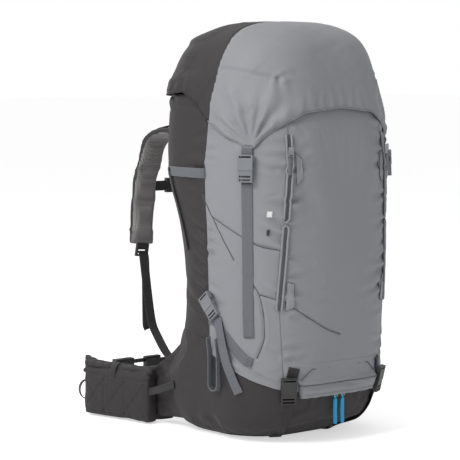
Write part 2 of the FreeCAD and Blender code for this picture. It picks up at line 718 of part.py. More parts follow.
def make_side_details():
    """Ice-axe loops below the side straps."""
    loops = []
    for side, sign in SIDES:
        top, reach = seam_height(-20) + 22, 9
        loop = body_for(f"axe_loop_{side}")
        ring = sketch_on(loop, "YZ_Plane", f"axe_loop_{side}_ring")
        for radius in (reach, reach - size("webbing") * 1.5):
            upper, lower = Vector(-26, top, 0), Vector(-26, top - 84, 0)
            ring.addGeometry(Part.LineSegment(upper + X_AXIS * radius, lower + X_AXIS * radius))
            ring.addGeometry(Part.LineSegment(upper - X_AXIS * radius, lower - X_AXIS * radius))
            ring.addGeometry(Part.Arc(upper + X_AXIS * radius, upper + Y_AXIS * radius,
                                      upper - X_AXIS * radius))
            ring.addGeometry(Part.Arc(lower - X_AXIS * radius, lower - Y_AXIS * radius,
                                      lower + X_AXIS * radius))
        pad(loop, ring, f"axe_loop_{side}_pad", "Dims.strap / 2")
        widest = side_point(sign, -26, top)
        stand = size("strap") / 4 + size("webbing") + size("gap") + 2
        loop.Placement.Base = Vector(widest.x + sign * stand, 0, 0)
        loops.append(loop)
    group("ice_axe_loops", loops)


def make_frame():
    """Frame sheet and two stays inside the back panel."""
    deep = layer("sheet_skin", "-(Dims.fabric + Dims.gap + Dims.sheet)",
                 "-(Dims.fabric + Dims.gap)")
    inner = "Dims.fabric + Dims.gap + Dims.sheet + Dims.gap"
    deeper = layer("stay_skin", f"-({inner} + Dims.stay)", f"-({inner})")
    area = box("sheet_area", ("-Dims.sheet_half", "30", "Dims.frame_foot"),
               ("Dims.sheet_half", "600", "Dims.divider_height - Dims.gap"))
    upper = box("sheet_upper", ("-Dims.sheet_half", "30", "Dims.divider_height + 3"),
                ("Dims.sheet_half", "600", "Dims.bag_height - Dims.collar_height - 6"))
    group("frame_sheet", [common("sheet_high", deep, upper), common("sheet_low", deep, area)])
    stays = []
    for side, sign in SIDES:
        x = f"{sign} * Dims.stay_half"
        bar = box(f"stay_area_{side}",
                  (f"{x} - Dims.stay_width / 2", "30", "Dims.divider_height + 3"),
                  (f"{x} + Dims.stay_width / 2", "600", "Dims.bag_height - Dims.collar_height - 12"))
        stays.append(common(f"stay_{side}", deeper, bar))
    group("aluminium_stays", stays)


def make_back_pads():
    """Foam pads on the outside of the back panel."""
    skin = layer("pad_skin", "Dims.gap", "Dims.gap + Dims.pad")
    pads = []
    for side, sign in SIDES:
        x = f"{sign} * Dims.pad_half"
        area = box(f"pad_area_{side}", (f"{x} - Dims.pad_width / 2", "30", "Dims.pad_foot"),
                   (f"{x} + Dims.pad_width / 2", "600", "Dims.pad_foot + Dims.pad_height"))
        pads.append(common(f"back_pad_{side}", skin, area))
    group("back_pads", pads)
    thick = layer("lumbar_skin", "Dims.gap", "Dims.gap + Dims.lumbar")
    area = box("lumbar_area", ("-Dims.lumbar_half", "30", "Dims.lumbar_foot"),
               ("Dims.lumbar_half", "600", "Dims.lumbar_foot + Dims.lumbar_height"))
    node(common("lumbar", thick, area), "lumbar_pad")


# --- the harness ----------------------------------------------------------------------------

def yoke_place(x, up, stand):
    """A placement on the leaning plane of the yoke: local X across, Y up, Z towards the wearer."""
    lean = math.radians(size("yoke_lean"))
    foot_z = size("yoke_foot")
    upper = back_point(0, foot_z + size("yoke_height"))
    rise, out = math.cos(lean), math.sin(lean)
    foot = Vector(0, upper.y + 3 - size("yoke_height") * out / rise, foot_z)
    spot = foot + Vector(x, 0, 0) + Vector(0, out, rise) * up + Vector(0, rise, -out) * stand
    return Placement(spot, Rotation(X_AXIS, 90 - size("yoke_lean")) * Rotation(Y_AXIS, 180))


def make_yoke():
    """The plate that carries the shoulder pads and slides on the back panel."""
    body = body_for("yoke")
    plate = sketch_on(body, "XY_Plane", "yoke_plate")
    half = "Dims.yoke_width / 2"
    rectangle(plate, f"-{half}", "0.01", half, "Dims.yoke_height")
    pad(body, plate, "yoke_pad", "Dims.yoke")
    body.Placement = yoke_place(0, 0, size("yoke") / 2)
    node(body, "yoke")


def shoulder_path():
    """Middle of a shoulder pad, seen from the side: (behind the origin, up)."""
    start = yoke_place(0, size("yoke_height") - 16, size("yoke") + size("shoulder") / 2 + 0.4).Base
    y, z = start.y, start.z
    points = [(y, z), (y + 16, z + 54), (y + 104, z + 46), (y + 134, z - 50),
              (y + 133, z - 112), (y + 126, z - 164)]
    return points, [30, 46, 120, 200]


def make_shoulders():
    """Shoulder pads, their height webbing, ladder locks and load lifters."""
    points, radii = shoulder_path()
    splay = size("shoulder_splay")
    end_y, end_z = points[-1]
    strips, locks, anchors, tails, lifters = [], [], [], [], []
    for side, sign in SIDES:
        x = sign * size("shoulder_half")
        pivot = Vector(0, points[0][0], points[0][1])
        lean = Rotation(Y_AXIS, -sign * splay)
        place = Placement(Vector(x, 0, 0) + pivot - lean.multVec(pivot), lean)
        strip = ribbon(f"shoulder_{side}", points, radii, size("shoulder"),
                       "Dims.shoulder_width", "YZ_Plane")
        strip.Placement = place
        strips.append(strip)

        lock = body_for(f"lock_{side}")
        plate = sketch_on(lock, "XY_Plane", f"lock_{side}_plate")
        rectangle(plate, "-14", "-24", "14", "-0.5")
        for rung in (0, 1):
            rectangle(plate, "-Dims.strap / 2 - 0.5", f"-21 + {rung} * 7",
                      "Dims.strap / 2 + 0.5", f"-21 + {rung} * 7 + Dims.slot")
        pad(lock, plate, f"lock_{side}_pad", "5")
        lock.Placement = place * Placement(Vector(0, end_y, end_z), Rotation(X_AXIS, 97))
        locks.append(lock)

        belt_y, belt_z = end_y - 3, end_z - 27
        anchor = [(belt_y, belt_z), (end_y - 62, 152), (174, 116)]
        webbing = ribbon(f"harness_webbing_{side}", anchor, [140], size("webbing"),
                         "Dims.strap", "YZ_Plane")
        top = place.multVec(Vector(0, belt_y, belt_z))
        tilt = Rotation(Y_AXIS, -sign * 8)
        low_pivot = Vector(0, belt_y, belt_z)
        webbing.Placement = Placement(Vector(top.x, 0, 0) + low_pivot - tilt.multVec(low_pivot), tilt)
        anchors.append(webbing)

        loose = [(end_y + 3, end_z - 27), (end_y - 40, 170), (end_y - 52, 126)]
        tail = ribbon(f"tail_{side}", loose, [240], size("webbing"), "Dims.strap", "YZ_Plane")
        tail.Placement = webbing.Placement
        tails.append(tail)

        top_y, top_z = points[2][0] - 18, points[2][1] + size("shoulder") / 2 + 4
        start = back_point(x, TOP - 56)
        route = [(start.y + 3, TOP - 56), (top_y - 48, top_z + 9), (top_y, top_z)]
        lifter = ribbon(f"lifter_{side}", route, [120], size("webbing"), "Dims.strap * 0.75",
                        "YZ_Plane")
        lifter.Placement.Base = Vector(x, 0, 0)
        lifters.append(lifter)
    group("shoulder_pads", strips)
    group("ladder_locks", locks)
    group("shoulder_webbing", anchors)
    group("webbing_tails", tails)
    group("load_lifters", lifters)
    doc.recompute()
    make_sternum(max(strip.Shape.BoundBox.YMax for strip in strips))


def make_sternum(outermost):
    """The sternum strap across the shoulder pads and its buckle."""
    z = size("sternum_height")
    y = outermost + size("gap")
    inner = size("buckle_length") + 2
    webs = []
    for side, sign in SIDES:
        ends = sorted((sign * 4, sign * (size("shoulder_half") + 24)))
        webs.append(box(
            f"sternum_web_{side}", (f"{ends[0]}", f"{y}", f"{z} - Dims.strap / 2"),
            (f"{ends[1]}", f"{y} + Dims.webbing", f"{z} + Dims.strap / 2")))
    group("sternum_straps", webs)
    outer = y + size("webbing") + 0.6 + size("buckle_thick") / 2
    turn = Rotation(Vector(0, 0, 1), Vector(-1, 0, 0), Vector(0, 1, 0), "ZYX")
    spot = Placement(Vector(inner / 2, outer, z), turn)
    female_half("sternum_female", "sternum_buckle", spot)
    male_half("sternum_male", "sternum_clip", spot)


# --- the hip belt ---------------------------------------------------------------------------

def make_belt():
    """Hip wings, their rolled pockets, the hip webbing and the open hip buckle."""
    y = size("belt_depth")
    for side, sign in SIDES:
        path = [(sign * 98, 188), (sign * 136, 188), (sign * 162, 330), (sign * 150, 388)]
        wing = ribbon(f"wing_{side}", path, [16, 60], size("wing"), "Dims.wing_height")
        wing.Placement.Base.z = size("wing_foot") + size("wing_height") / 2
        node(wing, f"hip_wing_{side}")
        web = [(sign * 146, 392), (sign * 112, y), (sign * 20, y)]
        strap = ribbon(f"hip_web_{side}", web, [40], size("webbing"), "Dims.belt_strap")
        strap.Placement.Base.z = size("belt_buckle_height")
        node(strap, f"hip_webbing_{side}")
        make_hip_pocket(side, sign, Vector(sign * 136, 188, 0), Vector(sign * 162, 330, 0))
    scale = "Dims.belt_buckle_scale"
    turn = Rotation(Vector(0, 0, 1), Vector(-1, 0, 0), Vector(0, 1, 0), "ZYX")
    outer = y + 1.4 + size("buckle_thick") / 2 * size("belt_buckle_scale")
    height = size("belt_buckle_height")
    female_half("hip_female", "hip_buckle", Placement(Vector(-4, outer, height), turn), scale)
    male_half("hip_male", "hip_clip",
              Placement(Vector(size("belt_open"), outer, height), turn), scale)


def make_hip_pocket(side, sign, start, end):
    """A pocket on the outer face of a hip wing, closed by a rolled top."""
    run = (end - start).normalize()
    out = Vector(run.y, -run.x, 0) * sign
    bag = body_for(f"hip_bag_{side}")
    face = sketch_on(bag, "XZ_Plane", f"hip_pocket_{side}_face")
    length, taper = size("pocket_length"), size("pocket_taper")
    low, high = size("wing_foot") + 1, size("wing_foot") + size("pocket_height")
    corners = [Vector(0, low, 0), Vector(length, low, 0), Vector(length, high - taper, 0),
               Vector(0, high, 0)]
    for a, b in zip(corners, corners[1:] + corners[:1]):
        face.addGeometry(Part.LineSegment(a, b))
    pad(bag, face, f"hip_pocket_{side}_pad", "Dims.pocket")
    turn = Rotation(Z_AXIS, math.degrees(math.atan2(run.y, run.x)))
    offset = size("wing") / 2 + size("gap") + size("pocket") / 2
    bag.Placement = Placement(start - run * 6 + out * offset, turn)
    roll = doc.addObject("Part::Cylinder", f"hip_roll_{side}")
    roll.setExpression("Radius", "Dims.roll_radius")
    roll.setExpression("Height", "Dims.pocket_length - 8")
    slope = math.degrees(math.atan2(taper, length))
    rest = Vector(4, 0, high + size("roll_radius") / 3 - 4 * taper / length)
    roll.Placement = bag.Placement * Placement(rest, Rotation(Y_AXIS, 90 + slope))
    rolled = doc.addObject("Part::Fuse", f"hip_pocket_rolled_{side}")
    rolled.Base, rolled.Tool = bag, roll
    node(rolled, f"hip_pocket_{side}")


# --- zip sliders ----------------------------------------------------------------------------

def make_slider(name, label, place, length, puller_label):
    """A zip slider and the puller that hangs on its pin. Local Y runs up, Z outwards."""
    body = body_for(name)
    block = sketch_on(body, "XY_Plane", name + "_block")
    half = "Dims.slider_width / 2"
    rectangle(block, f"-{half}", "0.01", half, "Dims.slider_length")
    pad(body, block, name + "_pad", "Dims.slider_thick")
    pin = sketch_on(body, "YZ_Plane", name + "_pin")
    spot = Vector(-size("hinge_pin") - 1.2, 0, 0)
    pin.addGeometry(Part.Circle(spot, Z_AXIS, size("hinge_pin")))
    pad(body, pin, name + "_pin_pad", "Dims.slider_width")
    ears = sketch_on(body, "XY_Plane", name + "_ears")
    for sign in (-1, 1):
        inner, outer = "Dims.slider_width / 2 - 1.6", "Dims.slider_width / 2"
        low, high = (inner, outer) if sign > 0 else (f"-({outer})", f"-({inner})")
        rectangle(ears, low, "-Dims.hinge_pin * 2 - 2", high, "1")
    pad(body, ears, name + "_ears_pad", "Dims.slider_thick")
    body.Placement = place
    node(body, label)

    tag = body_for(name + "_puller")
    eye = sketch_on(tag, "YZ_Plane", name + "_eye")
    centre = Vector(0, 0, 0)
    outer_radius = size("hinge_pin") + size("pin_play") + 0.9
    eye.addGeometry(Part.Circle(centre, Z_AXIS, outer_radius))
    eye.addGeometry(Part.Circle(centre, Z_AXIS, size("hinge_pin") + size("pin_play")))
    pad(tag, eye, name + "_eye_pad", "Dims.slider_width - 4")
    stem = sketch_on(tag, "XY_Plane", name + "_stem")
    rectangle(stem, "-Dims.slider_width / 2 + 2", f"-{outer_radius} - 3",
              "Dims.slider_width / 2 - 2", f"-{outer_radius} + 0.5")
    blade_top = f"-{outer_radius} - 2.5"
    pad(tag, stem, name + "_stem_pad", "Dims.hinge_pin * 1.2")
    blade = sketch_on(tag, "XY_Plane", name + "_blade")
    rectangle(blade, "-Dims.puller_width / 2", f"{blade_top} - ({length})",
              "Dims.puller_width / 2", blade_top)
    pad(tag, blade, name + "_blade_pad", "Dims.puller_thick")
    pin_line = place.Rotation.multVec(X_AXIS)
    plumb = Rotation(pin_line, Z_AXIS, pin_line.cross(Z_AXIS), "XYZ")
    tag.Placement = Placement(place.multVec(Vector(0, spot.x, 0)), plumb)
    node(tag, puller_label)


def make_sliders():
    """The four zip sliders on the front and the base."""
    low, high = size("zip_foot"), TOP - size("zip_drop")
    for side, sign in SIDES:
        z = high - size("slider_length") - 2
        spot = front_point(sign * zip_half(z), z)
        end_z = low + 12
        end = front_point(sign * zip_half(end_z), end_z)
        run = (spot - end).normalize()
        normal = outward(spot)
        across = run.cross(normal).normalize()
        normal = across.cross(run).normalize()
        place = Placement(spot + normal * size("slider_stand"),
                          Rotation(across, run, normal, "ZYX"))
        make_slider(f"slider_{side}", f"front_slider_{side}", place, "Dims.puller_length * 0.7",
                    f"front_puller_{side}")
        x = sign * (size("slider_width") / 2 + 4)
        spot = front_point(x, seam_height(-size("front_depth")) - 6)
        make_slider(f"base_slider_{side}", f"base_slider_{side}",
                    on_skin(spot, Z_AXIS, size("base_slider_stand")),
                    "Dims.base_puller_length", f"base_puller_{side}")


# --- buckles on the bag ---------------------------------------------------------------------

def make_buckles():
    """The paired buckles of the lid, the sides and the base, and the haul loop."""
    stand = size("buckle_stand") + size("buckle_thick") / 2
    lid_sockets, tabs, side_sockets, base_sockets = [], [], [], []
    for side, sign in SIDES:
        z = TOP - size("lid_buckle_drop")
        spot = side_point(sign, -size("lid_tip_reach"), z)
        place = on_skin(spot, Z_AXIS, stand + 1)
        lid_sockets.append(female_half(f"lid_female_{side}", None, place))
        male_half(f"lid_male_{side}", f"lid_clip_{side}", place)
        tab = body_for(f"lid_tab_{side}")
        sheet_ = sketch_on(tab, "XY_Plane", f"lid_tab_{side}_sheet")
        rectangle(sheet_, "-Dims.strap / 2", "4", "Dims.strap / 2",
                  "Dims.lid_buckle_drop - Dims.lid_tip_drop - 1")
        pad(tab, sheet_, f"lid_tab_{side}_pad", "Dims.webbing")
        sunk = Vector(0, 0, -size("buckle_thick") / 2 - size("webbing") / 2 - 0.3)
        tab.Placement = place * Placement(sunk, Rotation())
        tabs.append(tab)

        spot = side_point(sign, -14, size("side_buckle_height"))
        place = on_skin(spot, Vector(0, 0.62, 0.78), stand)
        side_sockets.append(female_half(f"side_female_{side}", None, place))
        male_half(f"side_male_{side}", f"side_clip_{side}", place)

        x = sign * size("base_strap_half")
        spot = front_point(x, size("base_buckle_height"))
        place = on_skin(spot, Z_AXIS, stand + 1)
        base_sockets.append(female_half(f"base_female_{side}", None, place))
        male_half(f"base_male_{side}", f"base_clip_{side}", place)
    group("lid_buckles", lid_sockets)
    group("lid_tabs", tabs)
    group("side_buckles", side_sockets)
    group("base_buckles", base_sockets)

    z = TOP - 44
    y = back_point(0, z).y + 1
    path = [(-46, y + 1), (-40, y + 26), (40, y + 26), (46, y + 1)]
    loop = ribbon("haul", path, [12, 12], 3, "Dims.strap")
    loop.Placement.Base.z = z
    node(loop, "haul_loop")


def export():
    """Checks every object and writes each sub-part."""
    doc.recompute()
    for thing in doc.Objects:
        broken = [state for state in thing.State if state in ("Invalid", "Error")]
        if broken:
            raise RuntimeError(f"{thing.Name} ({thing.Label}) is {broken}")
    os.makedirs("parts", exist_ok=True)
    for thing in nodes:
        shape = thing.Shape
        if shape.isNull() or not shape.isValid() or not shape.Solids:
            raise RuntimeError(f"{thing.Label} has no valid solid")
        shape.exportStep(f"parts/{thing.Label}.step")
        limits = shape.BoundBox
        print(f"{thing.Label:26s} {len(shape.Solids)} solid  {shape.Volume / 1000:9.2f} cm3  "
              f"x {limits.XMin:7.1f} {limits.XMax:7.1f}  y {limits.YMin:7.1f} {limits.YMax:7.1f}  "
              f"z {limits.ZMin:7.1f} {limits.ZMax:7.1f}")
    print(len(nodes), "sub-parts")


make_panels()
make_inside()
make_lid()
make_straps()
make_zips()
make_side_details()
make_frame()
make_back_pads()
make_yoke()
make_shoulders()
make_belt()
make_sliders()
make_buckles()
export()
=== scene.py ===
"""Hiking backpack: the looks of the pack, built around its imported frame. Metres, +Z up."""
import json
import math
from functools import partial

import bmesh
import bpy
import numpy as np
from mathutils import Matrix, Vector
from mathutils.bvhtree import BVHTree

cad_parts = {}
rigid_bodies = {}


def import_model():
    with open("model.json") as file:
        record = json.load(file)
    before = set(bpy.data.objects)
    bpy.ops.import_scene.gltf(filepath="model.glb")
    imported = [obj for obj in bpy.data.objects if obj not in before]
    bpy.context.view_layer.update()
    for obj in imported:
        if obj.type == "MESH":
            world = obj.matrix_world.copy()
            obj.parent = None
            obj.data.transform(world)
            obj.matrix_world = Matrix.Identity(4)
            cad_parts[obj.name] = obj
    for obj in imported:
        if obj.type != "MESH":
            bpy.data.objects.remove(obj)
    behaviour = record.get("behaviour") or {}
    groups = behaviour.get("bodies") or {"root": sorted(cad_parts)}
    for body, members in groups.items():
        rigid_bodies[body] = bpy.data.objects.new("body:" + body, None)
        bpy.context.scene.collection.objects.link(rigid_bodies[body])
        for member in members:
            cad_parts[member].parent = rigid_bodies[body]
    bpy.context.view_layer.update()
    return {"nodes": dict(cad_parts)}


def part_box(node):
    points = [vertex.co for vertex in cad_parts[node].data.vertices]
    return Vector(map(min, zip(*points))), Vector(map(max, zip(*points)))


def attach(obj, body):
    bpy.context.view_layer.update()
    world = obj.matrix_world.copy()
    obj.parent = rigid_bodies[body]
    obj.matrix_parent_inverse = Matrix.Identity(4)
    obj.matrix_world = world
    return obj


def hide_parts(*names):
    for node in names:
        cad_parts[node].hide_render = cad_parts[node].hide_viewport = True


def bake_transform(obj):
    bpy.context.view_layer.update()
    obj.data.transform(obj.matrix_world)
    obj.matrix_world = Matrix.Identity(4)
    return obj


bl_info = {
    "name": "Hiking backpack",
    "version": (1, 0, 0),
    "blender": (4, 5, 0),
    "location": "View3D > Sidebar > Backpack",
    "description": "Fabric, webbing, hardware and stage of a trekking pack",
    "category": "Object",
}

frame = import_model()
SIDES = (("left", -1), ("right", 1))
PREFIX = "pack_"
MIDDLE_Y = -0.005
CIRCLE = 2 * math.pi
ACROSS = math.pi / 2


# --- reading the frame ----------------------------------------------------------------------

def node_points(node, side=0):
    """The vertices of a CAD node, or only those left (-1) or right (1) of the middle."""
    points = read(frame["nodes"][node].data)
    return points[points[:, 0] * side > 0] if side else points


def read(mesh, field="co"):
    """A mesh's vertices, or their outward directions, as rows of three numbers."""
    values = np.empty(len(mesh.vertices) * 3)
    mesh.vertices.foreach_get(field, values)
    return values.reshape(-1, 3)


def write(mesh, points):
    """Moves a mesh's vertices to new places."""
    mesh.vertices.foreach_set("co", points.reshape(-1))


def shade_smooth(mesh):
    """Smooth shading on every face."""
    mesh.polygons.foreach_set("use_smooth", np.ones(len(mesh.polygons), bool))


def made_by_modifiers(piece):
    """The mesh that an object's modifiers make. The object and its modifiers are removed."""
    graph = bpy.context.evaluated_depsgraph_get()
    mesh = bpy.data.meshes.new_from_object(piece.evaluated_get(graph))
    piece.modifiers.clear()
    bpy.data.objects.remove(piece)
    return mesh


def tree_of(nodes):
    """One ray-casting tree of several CAD nodes."""
    return tree_of_meshes([frame["nodes"][node].data for node in nodes])


def tree_of_meshes(meshes):
    """One ray-casting tree of finished meshes."""
    points, faces, base = [], [], 0
    for mesh in meshes:
        points += [vertex.co.copy() for vertex in mesh.vertices]
        faces += [[base + i for i in polygon.vertices] for polygon in mesh.polygons]
        base = len(points)
    return BVHTree.FromPolygons(points, faces)


def smooth(x):
    """Eases a share of a way from 0 to 1."""
    x = np.clip(x, 0, 1)
    return x * x * (3 - 2 * x)


def lerp(a, b, share):
    """A value on the way from a to b."""
    return a + (b - a) * share


def look_up(table, row, column):
    """Reads a table between its cells; rows are clamped and columns wrap round."""
    rows, columns = table.shape[:2]
    row = np.clip(row, 0, rows - 1.001)
    r, c = np.floor(row).astype(int), np.floor(column).astype(int)
    fr, fc = row - r, column - c
    c0, c1 = c % columns, (c + 1) % columns
    low = table[r, c0] * (1 - fc) + table[r, c1] * fc
    high = table[r + 1, c0] * (1 - fc) + table[r + 1, c1] * fc
    return low * (1 - fr) + high * fr


def level_way(turn):
    """The level direction at a turn."""
    return Vector((math.cos(turn), math.sin(turn), 0))


class Bag:
    """The outer form of the bag, read from its panels as reach against turn and height."""
    panels = ("base_panel", "front_panel", "side_panels", "rear_gussets", "back_panel")
    middle = MIDDLE_Y
    inside = 0.0006

    def __init__(self, tree=None, turns=240, step=0.005):
        tree = tree or tree_of(self.panels)
        self.turns, self.step = turns, step
        self.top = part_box("front_panel")[1].z
        rows = int(self.top / self.step)
        self.reach = np.zeros((rows, self.turns))
        for row in range(rows):
            z = max(row * self.step, self.inside)
            for column in range(self.turns):
                way = level_way(CIRCLE * column / self.turns)
                start = Vector((0, self.middle, min(z, self.top - 0.001))) + way * 0.6
                hit = tree.ray_cast(start, -way)[0]
                self.reach[row, column] = 0.6 - (start - hit).length if hit else 0.1

    def at(self, turn, z, out=0.0):
        """Points of the skin at a turn (radians) and a height, moved out by a distance."""
        turn, z = np.broadcast_arrays(np.asarray(turn, float), np.asarray(z, float))
        reach = self.reach_at(turn, z) + out
        return np.stack([reach * np.cos(turn), self.middle + reach * np.sin(turn), z], -1)

    def reach_at(self, turn, z):
        """How far the skin is from the upright middle line."""
        return look_up(self.reach, z / self.step, turn / CIRCLE * self.turns)

    def turn_of(self, x, y):
        """The turn towards a level point."""
        return np.arctan2(np.asarray(y) - self.middle, np.asarray(x))

    def turn_at_x(self, x, z, front=True):
        """The turn at which the skin crosses a distance from the middle, on its front or back."""
        z = np.asarray(z, float)
        turn = np.full(z.shape, -math.pi / 2 if front else math.pi / 2)
        for _ in range(30):
            turn = np.arctan2(self.reach_at(turn, z) * np.sin(turn), np.asarray(x) + 0 * z)
        return turn

    def turn_at_y(self, y, z, side):
        """The turn at which the skin's side crosses a distance behind the origin."""
        z = np.asarray(z, float)
        turn = np.full(z.shape, math.pi if side < 0 else 0.0)
        for _ in range(12):
            across = np.abs(self.reach_at(turn, z) * np.cos(turn))
            turn = np.arctan2(np.asarray(y) - self.middle + 0 * z, side * across)
        return np.where(turn < 0, turn + CIRCLE, turn) if side < 0 else turn


class Cap:
    """The outer form of the lid, read as reach against turn and tilt from a point inside it."""
    centre = Vector((0, 0.004, 0.600))
    turns = 360
    low, high = -24, 90

    def __init__(self):
        tree = tree_of(("lid_front", "lid_back"))
        tilts = range(self.low, self.high + 1)
        self.reach = np.full((len(tilts), self.turns), np.nan)
        for row, tilt in enumerate(tilts):
            up = math.radians(min(tilt, 89.7))
            for column in range(self.turns):
                way = level_way(CIRCLE * column / self.turns) * math.cos(up)
                way.z = math.sin(up)
                hit = tree.ray_cast(self.centre + way * 0.6, -way)[0]
                if hit and (hit - self.centre).dot(way) > 0.1:
                    self.reach[row, column] = (hit - self.centre).length
        for row in range(len(tilts) - 2, -1, -1):
            gaps = np.isnan(self.reach[row])
            tilt, above = math.radians(self.low + row), math.radians(self.low + row + 1)
            level = self.reach[row + 1] * math.cos(above) / math.cos(tilt)
            self.reach[row, gaps] = level[gaps]

    def at(self, turn, tilt, out=0.0):
        """Points of the lid's skin at a turn and a tilt in radians."""
        turn, tilt = np.broadcast_arrays(np.asarray(turn, float), np.asarray(tilt, float))
        reach = self.reach_at(turn, tilt) + out
        flat = reach * np.cos(tilt)
        c = self.centre
        return np.stack([c.x + flat * np.cos(turn), c.y + flat * np.sin(turn),
                         c.z + reach * np.sin(tilt)], -1)

    def reach_at(self, turn, tilt):
        """How far the skin is from the point inside the lid."""
        return look_up(self.reach, np.degrees(tilt) - self.low, turn / CIRCLE * self.turns)

    def tilt_at(self, turn, z):
        """The tilt at which the skin is at a height."""
        tilt = np.zeros_like(np.asarray(turn, float))
        for _ in range(14):
            tilt = np.arcsin(np.clip((z - self.centre.z) / self.reach_at(turn, tilt), -0.98, 0.98))
        return tilt


# --- meshes ---------------------------------------------------------------------------------

def grid_mesh(name, points, uv, close=False):
    """A mesh of a grid of points. uv gives every point its place on the cloth in metres."""
    rows, columns = points.shape[:2]
    wide = columns if close else columns - 1
    index = np.arange(rows * columns).reshape(rows, columns)
    after = np.roll(index, -1, axis=1)
    faces = np.stack([index[:-1, :wide], after[:-1, :wide], after[1:, :wide], index[1:, :wide]], -1)
    faces = faces.reshape(-1, 4)
    mesh = bpy.data.meshes.new(name)
    mesh.from_pydata(points.reshape(-1, 3).tolist(), [], faces.tolist())
    layer = mesh.uv_layers.new(name="cloth")
    flat = uv.reshape(-1, 2)[faces.reshape(-1)].copy()
    if close:
        flat = flat.reshape(-1, 4, 2)
        ends = (faces[:, 1] % columns) < (faces[:, 0] % columns)
        step = uv[0, 1, 0] - uv[0, 0, 0]
        flat[ends, 1, 0] = flat[ends, 0, 0] + step
        flat[ends, 2, 0] = flat[ends, 3, 0] + step
    layer.data.foreach_set("uv", flat.reshape(-1))
    shade_smooth(mesh)
    mesh.update()
    return mesh


def fill_rings(mesh, starts, count, inside_out=None):
    """Fills rings of vertices with a face each and turns every face outwards."""
    work = bmesh.new()
    work.from_mesh(mesh)
    work.verts.ensure_lookup_table()
    for start in starts:
        work.faces.new([work.verts[start + i] for i in range(count)])
    bmesh.ops.recalc_face_normals(work, faces=work.faces)
    if inside_out and inside_out(work.faces):
        bmesh.ops.reverse_faces(work, faces=work.faces)
    work.to_mesh(mesh)
    work.free()


SLOTS = {"grey_cloth": "grey_fabric", "thread_grey": "grey_fabric", "seam_shadow": "grey_fabric",
         "dark_cloth": "dark_fabric", "dark_cloth_object": "dark_fabric", "thread_dark": "dark_fabric",
         "grey_webbing": "grey_webbing", "black_webbing": "black_webbing", "zip_tape": "zip_tape",
         "grey_plastic": "grey_plastic", "accent": "blue_puller"}


def add_piece(name, mesh, material, body, replaces=(), slot=None):
    """Puts a finished mesh in the scene and rides it on its body."""
    piece = bpy.data.objects.new(name, mesh)
    bpy.context.scene.collection.objects.link(piece)
    if material and not mesh.materials:
        mesh.materials.append(material)
    if body:
        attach(piece, body)
    if replaces:
        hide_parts(*replaces)
    if material:
        slot = slot or SLOTS[material.name.removeprefix(PREFIX)]
    return piece


def thicken(piece, thickness, levels=0, offset=-1):
    """Gives a sheet its thickness, inwards unless told, and rounds its grid."""
    if levels:
        rounder = piece.modifiers.new("Round", "SUBSURF")
        rounder.levels = rounder.render_levels = levels
    shell = piece.modifiers.new("Thickness", "SOLIDIFY")
    shell.thickness, shell.offset = thickness, offset


def soften_edges(piece, width):
    """Rounds a piece's edges a little."""
    rim = piece.modifiers.new("Soft edge", "BEVEL")
    rim.width, rim.segments = width, 2


def spline(points, count):
    """A smooth line through points, as evenly spaced points."""
    points = np.asarray(points, float)
    padded = np.vstack([2 * points[0] - points[1], points, 2 * points[-1] - points[-2]])
    line = []
    for a, b, c, d in zip(padded, padded[1:], padded[2:], padded[3:]):
        t = np.linspace(0, 1, 24, endpoint=False)[:, None]
        line.append(0.5 * (2 * b + (c - a) * t + (2 * a - 5 * b + 4 * c - d) * t ** 2
                           + (3 * b - a - 3 * c + d) * t ** 3))
    line = np.vstack(line + [points[-1:]])
    return resample(line, count)


def resample(line, count):
    """Evenly spaced points on a line."""
    way = way_along(line)
    marks = np.linspace(0, way[-1], count)
    return np.stack([np.interp(marks, way, line[:, axis]) for axis in range(3)], -1)


def way_along(line):
    """The length of a line up to each of its points."""
    return np.concatenate([[0], np.cumsum(np.linalg.norm(np.diff(line, axis=0), axis=1))])


def unit(v):
    """Vectors of length one."""
    v = np.asarray(v, float)
    return v / np.maximum(np.linalg.norm(v, axis=-1, keepdims=True), 1e-9)


def strap_mesh(name, line, faces_to, width, thick, taper=0.0):
    """A flat strap along a line. faces_to holds the outward direction at every point."""
    line = np.asarray(line, float)
    count = len(line)
    along = unit(np.gradient(line, axis=0))
    normal = np.broadcast_to(np.asarray(faces_to, float), line.shape)
    normal = unit(normal - along * np.sum(normal * along, -1, keepdims=True))
    across = np.cross(along, normal)
    lanes = 6
    profile = [(-0.5, -0.2), (-0.5, 0.2)]
    profile += [(x, 0.5) for x in np.linspace(-0.47, 0.47, lanes)]
    profile += [(0.5, 0.2), (0.5, -0.2)]
    profile += [(x, -0.5) for x in np.linspace(0.47, -0.47, lanes)]
    profile = np.array(profile)
    length = way_along(line)
    size = np.full(count, width) * (1 - taper * np.linspace(0, 1, count))
    ring = (line[:, None] + across[:, None] * (profile[None, :, 0:1] * size[:, None, None])
            + normal[:, None] * (profile[None, :, 1:2] * thick))
    uv = np.stack(np.broadcast_arrays(profile[None, :, 0] * width, length[:, None]), -1)
    mesh = grid_mesh(name, ring, uv, close=True)
    work = bmesh.new()
    work.from_mesh(mesh)
    work.verts.ensure_lookup_table()
    sides = len(profile)
    layer = work.loops.layers.uv.active
    for start in (0, (count - 1) * sides):
        cap = work.faces.new([work.verts[start + i] for i in range(sides)])
        for loop, (x, y) in zip(cap.loops, profile):
            loop[layer].uv = (x * width, y * thick + length[-1] * (start > 0))
    bmesh.ops.recalc_face_normals(work, faces=work.faces)
    work.to_mesh(mesh)
    work.free()
    return mesh


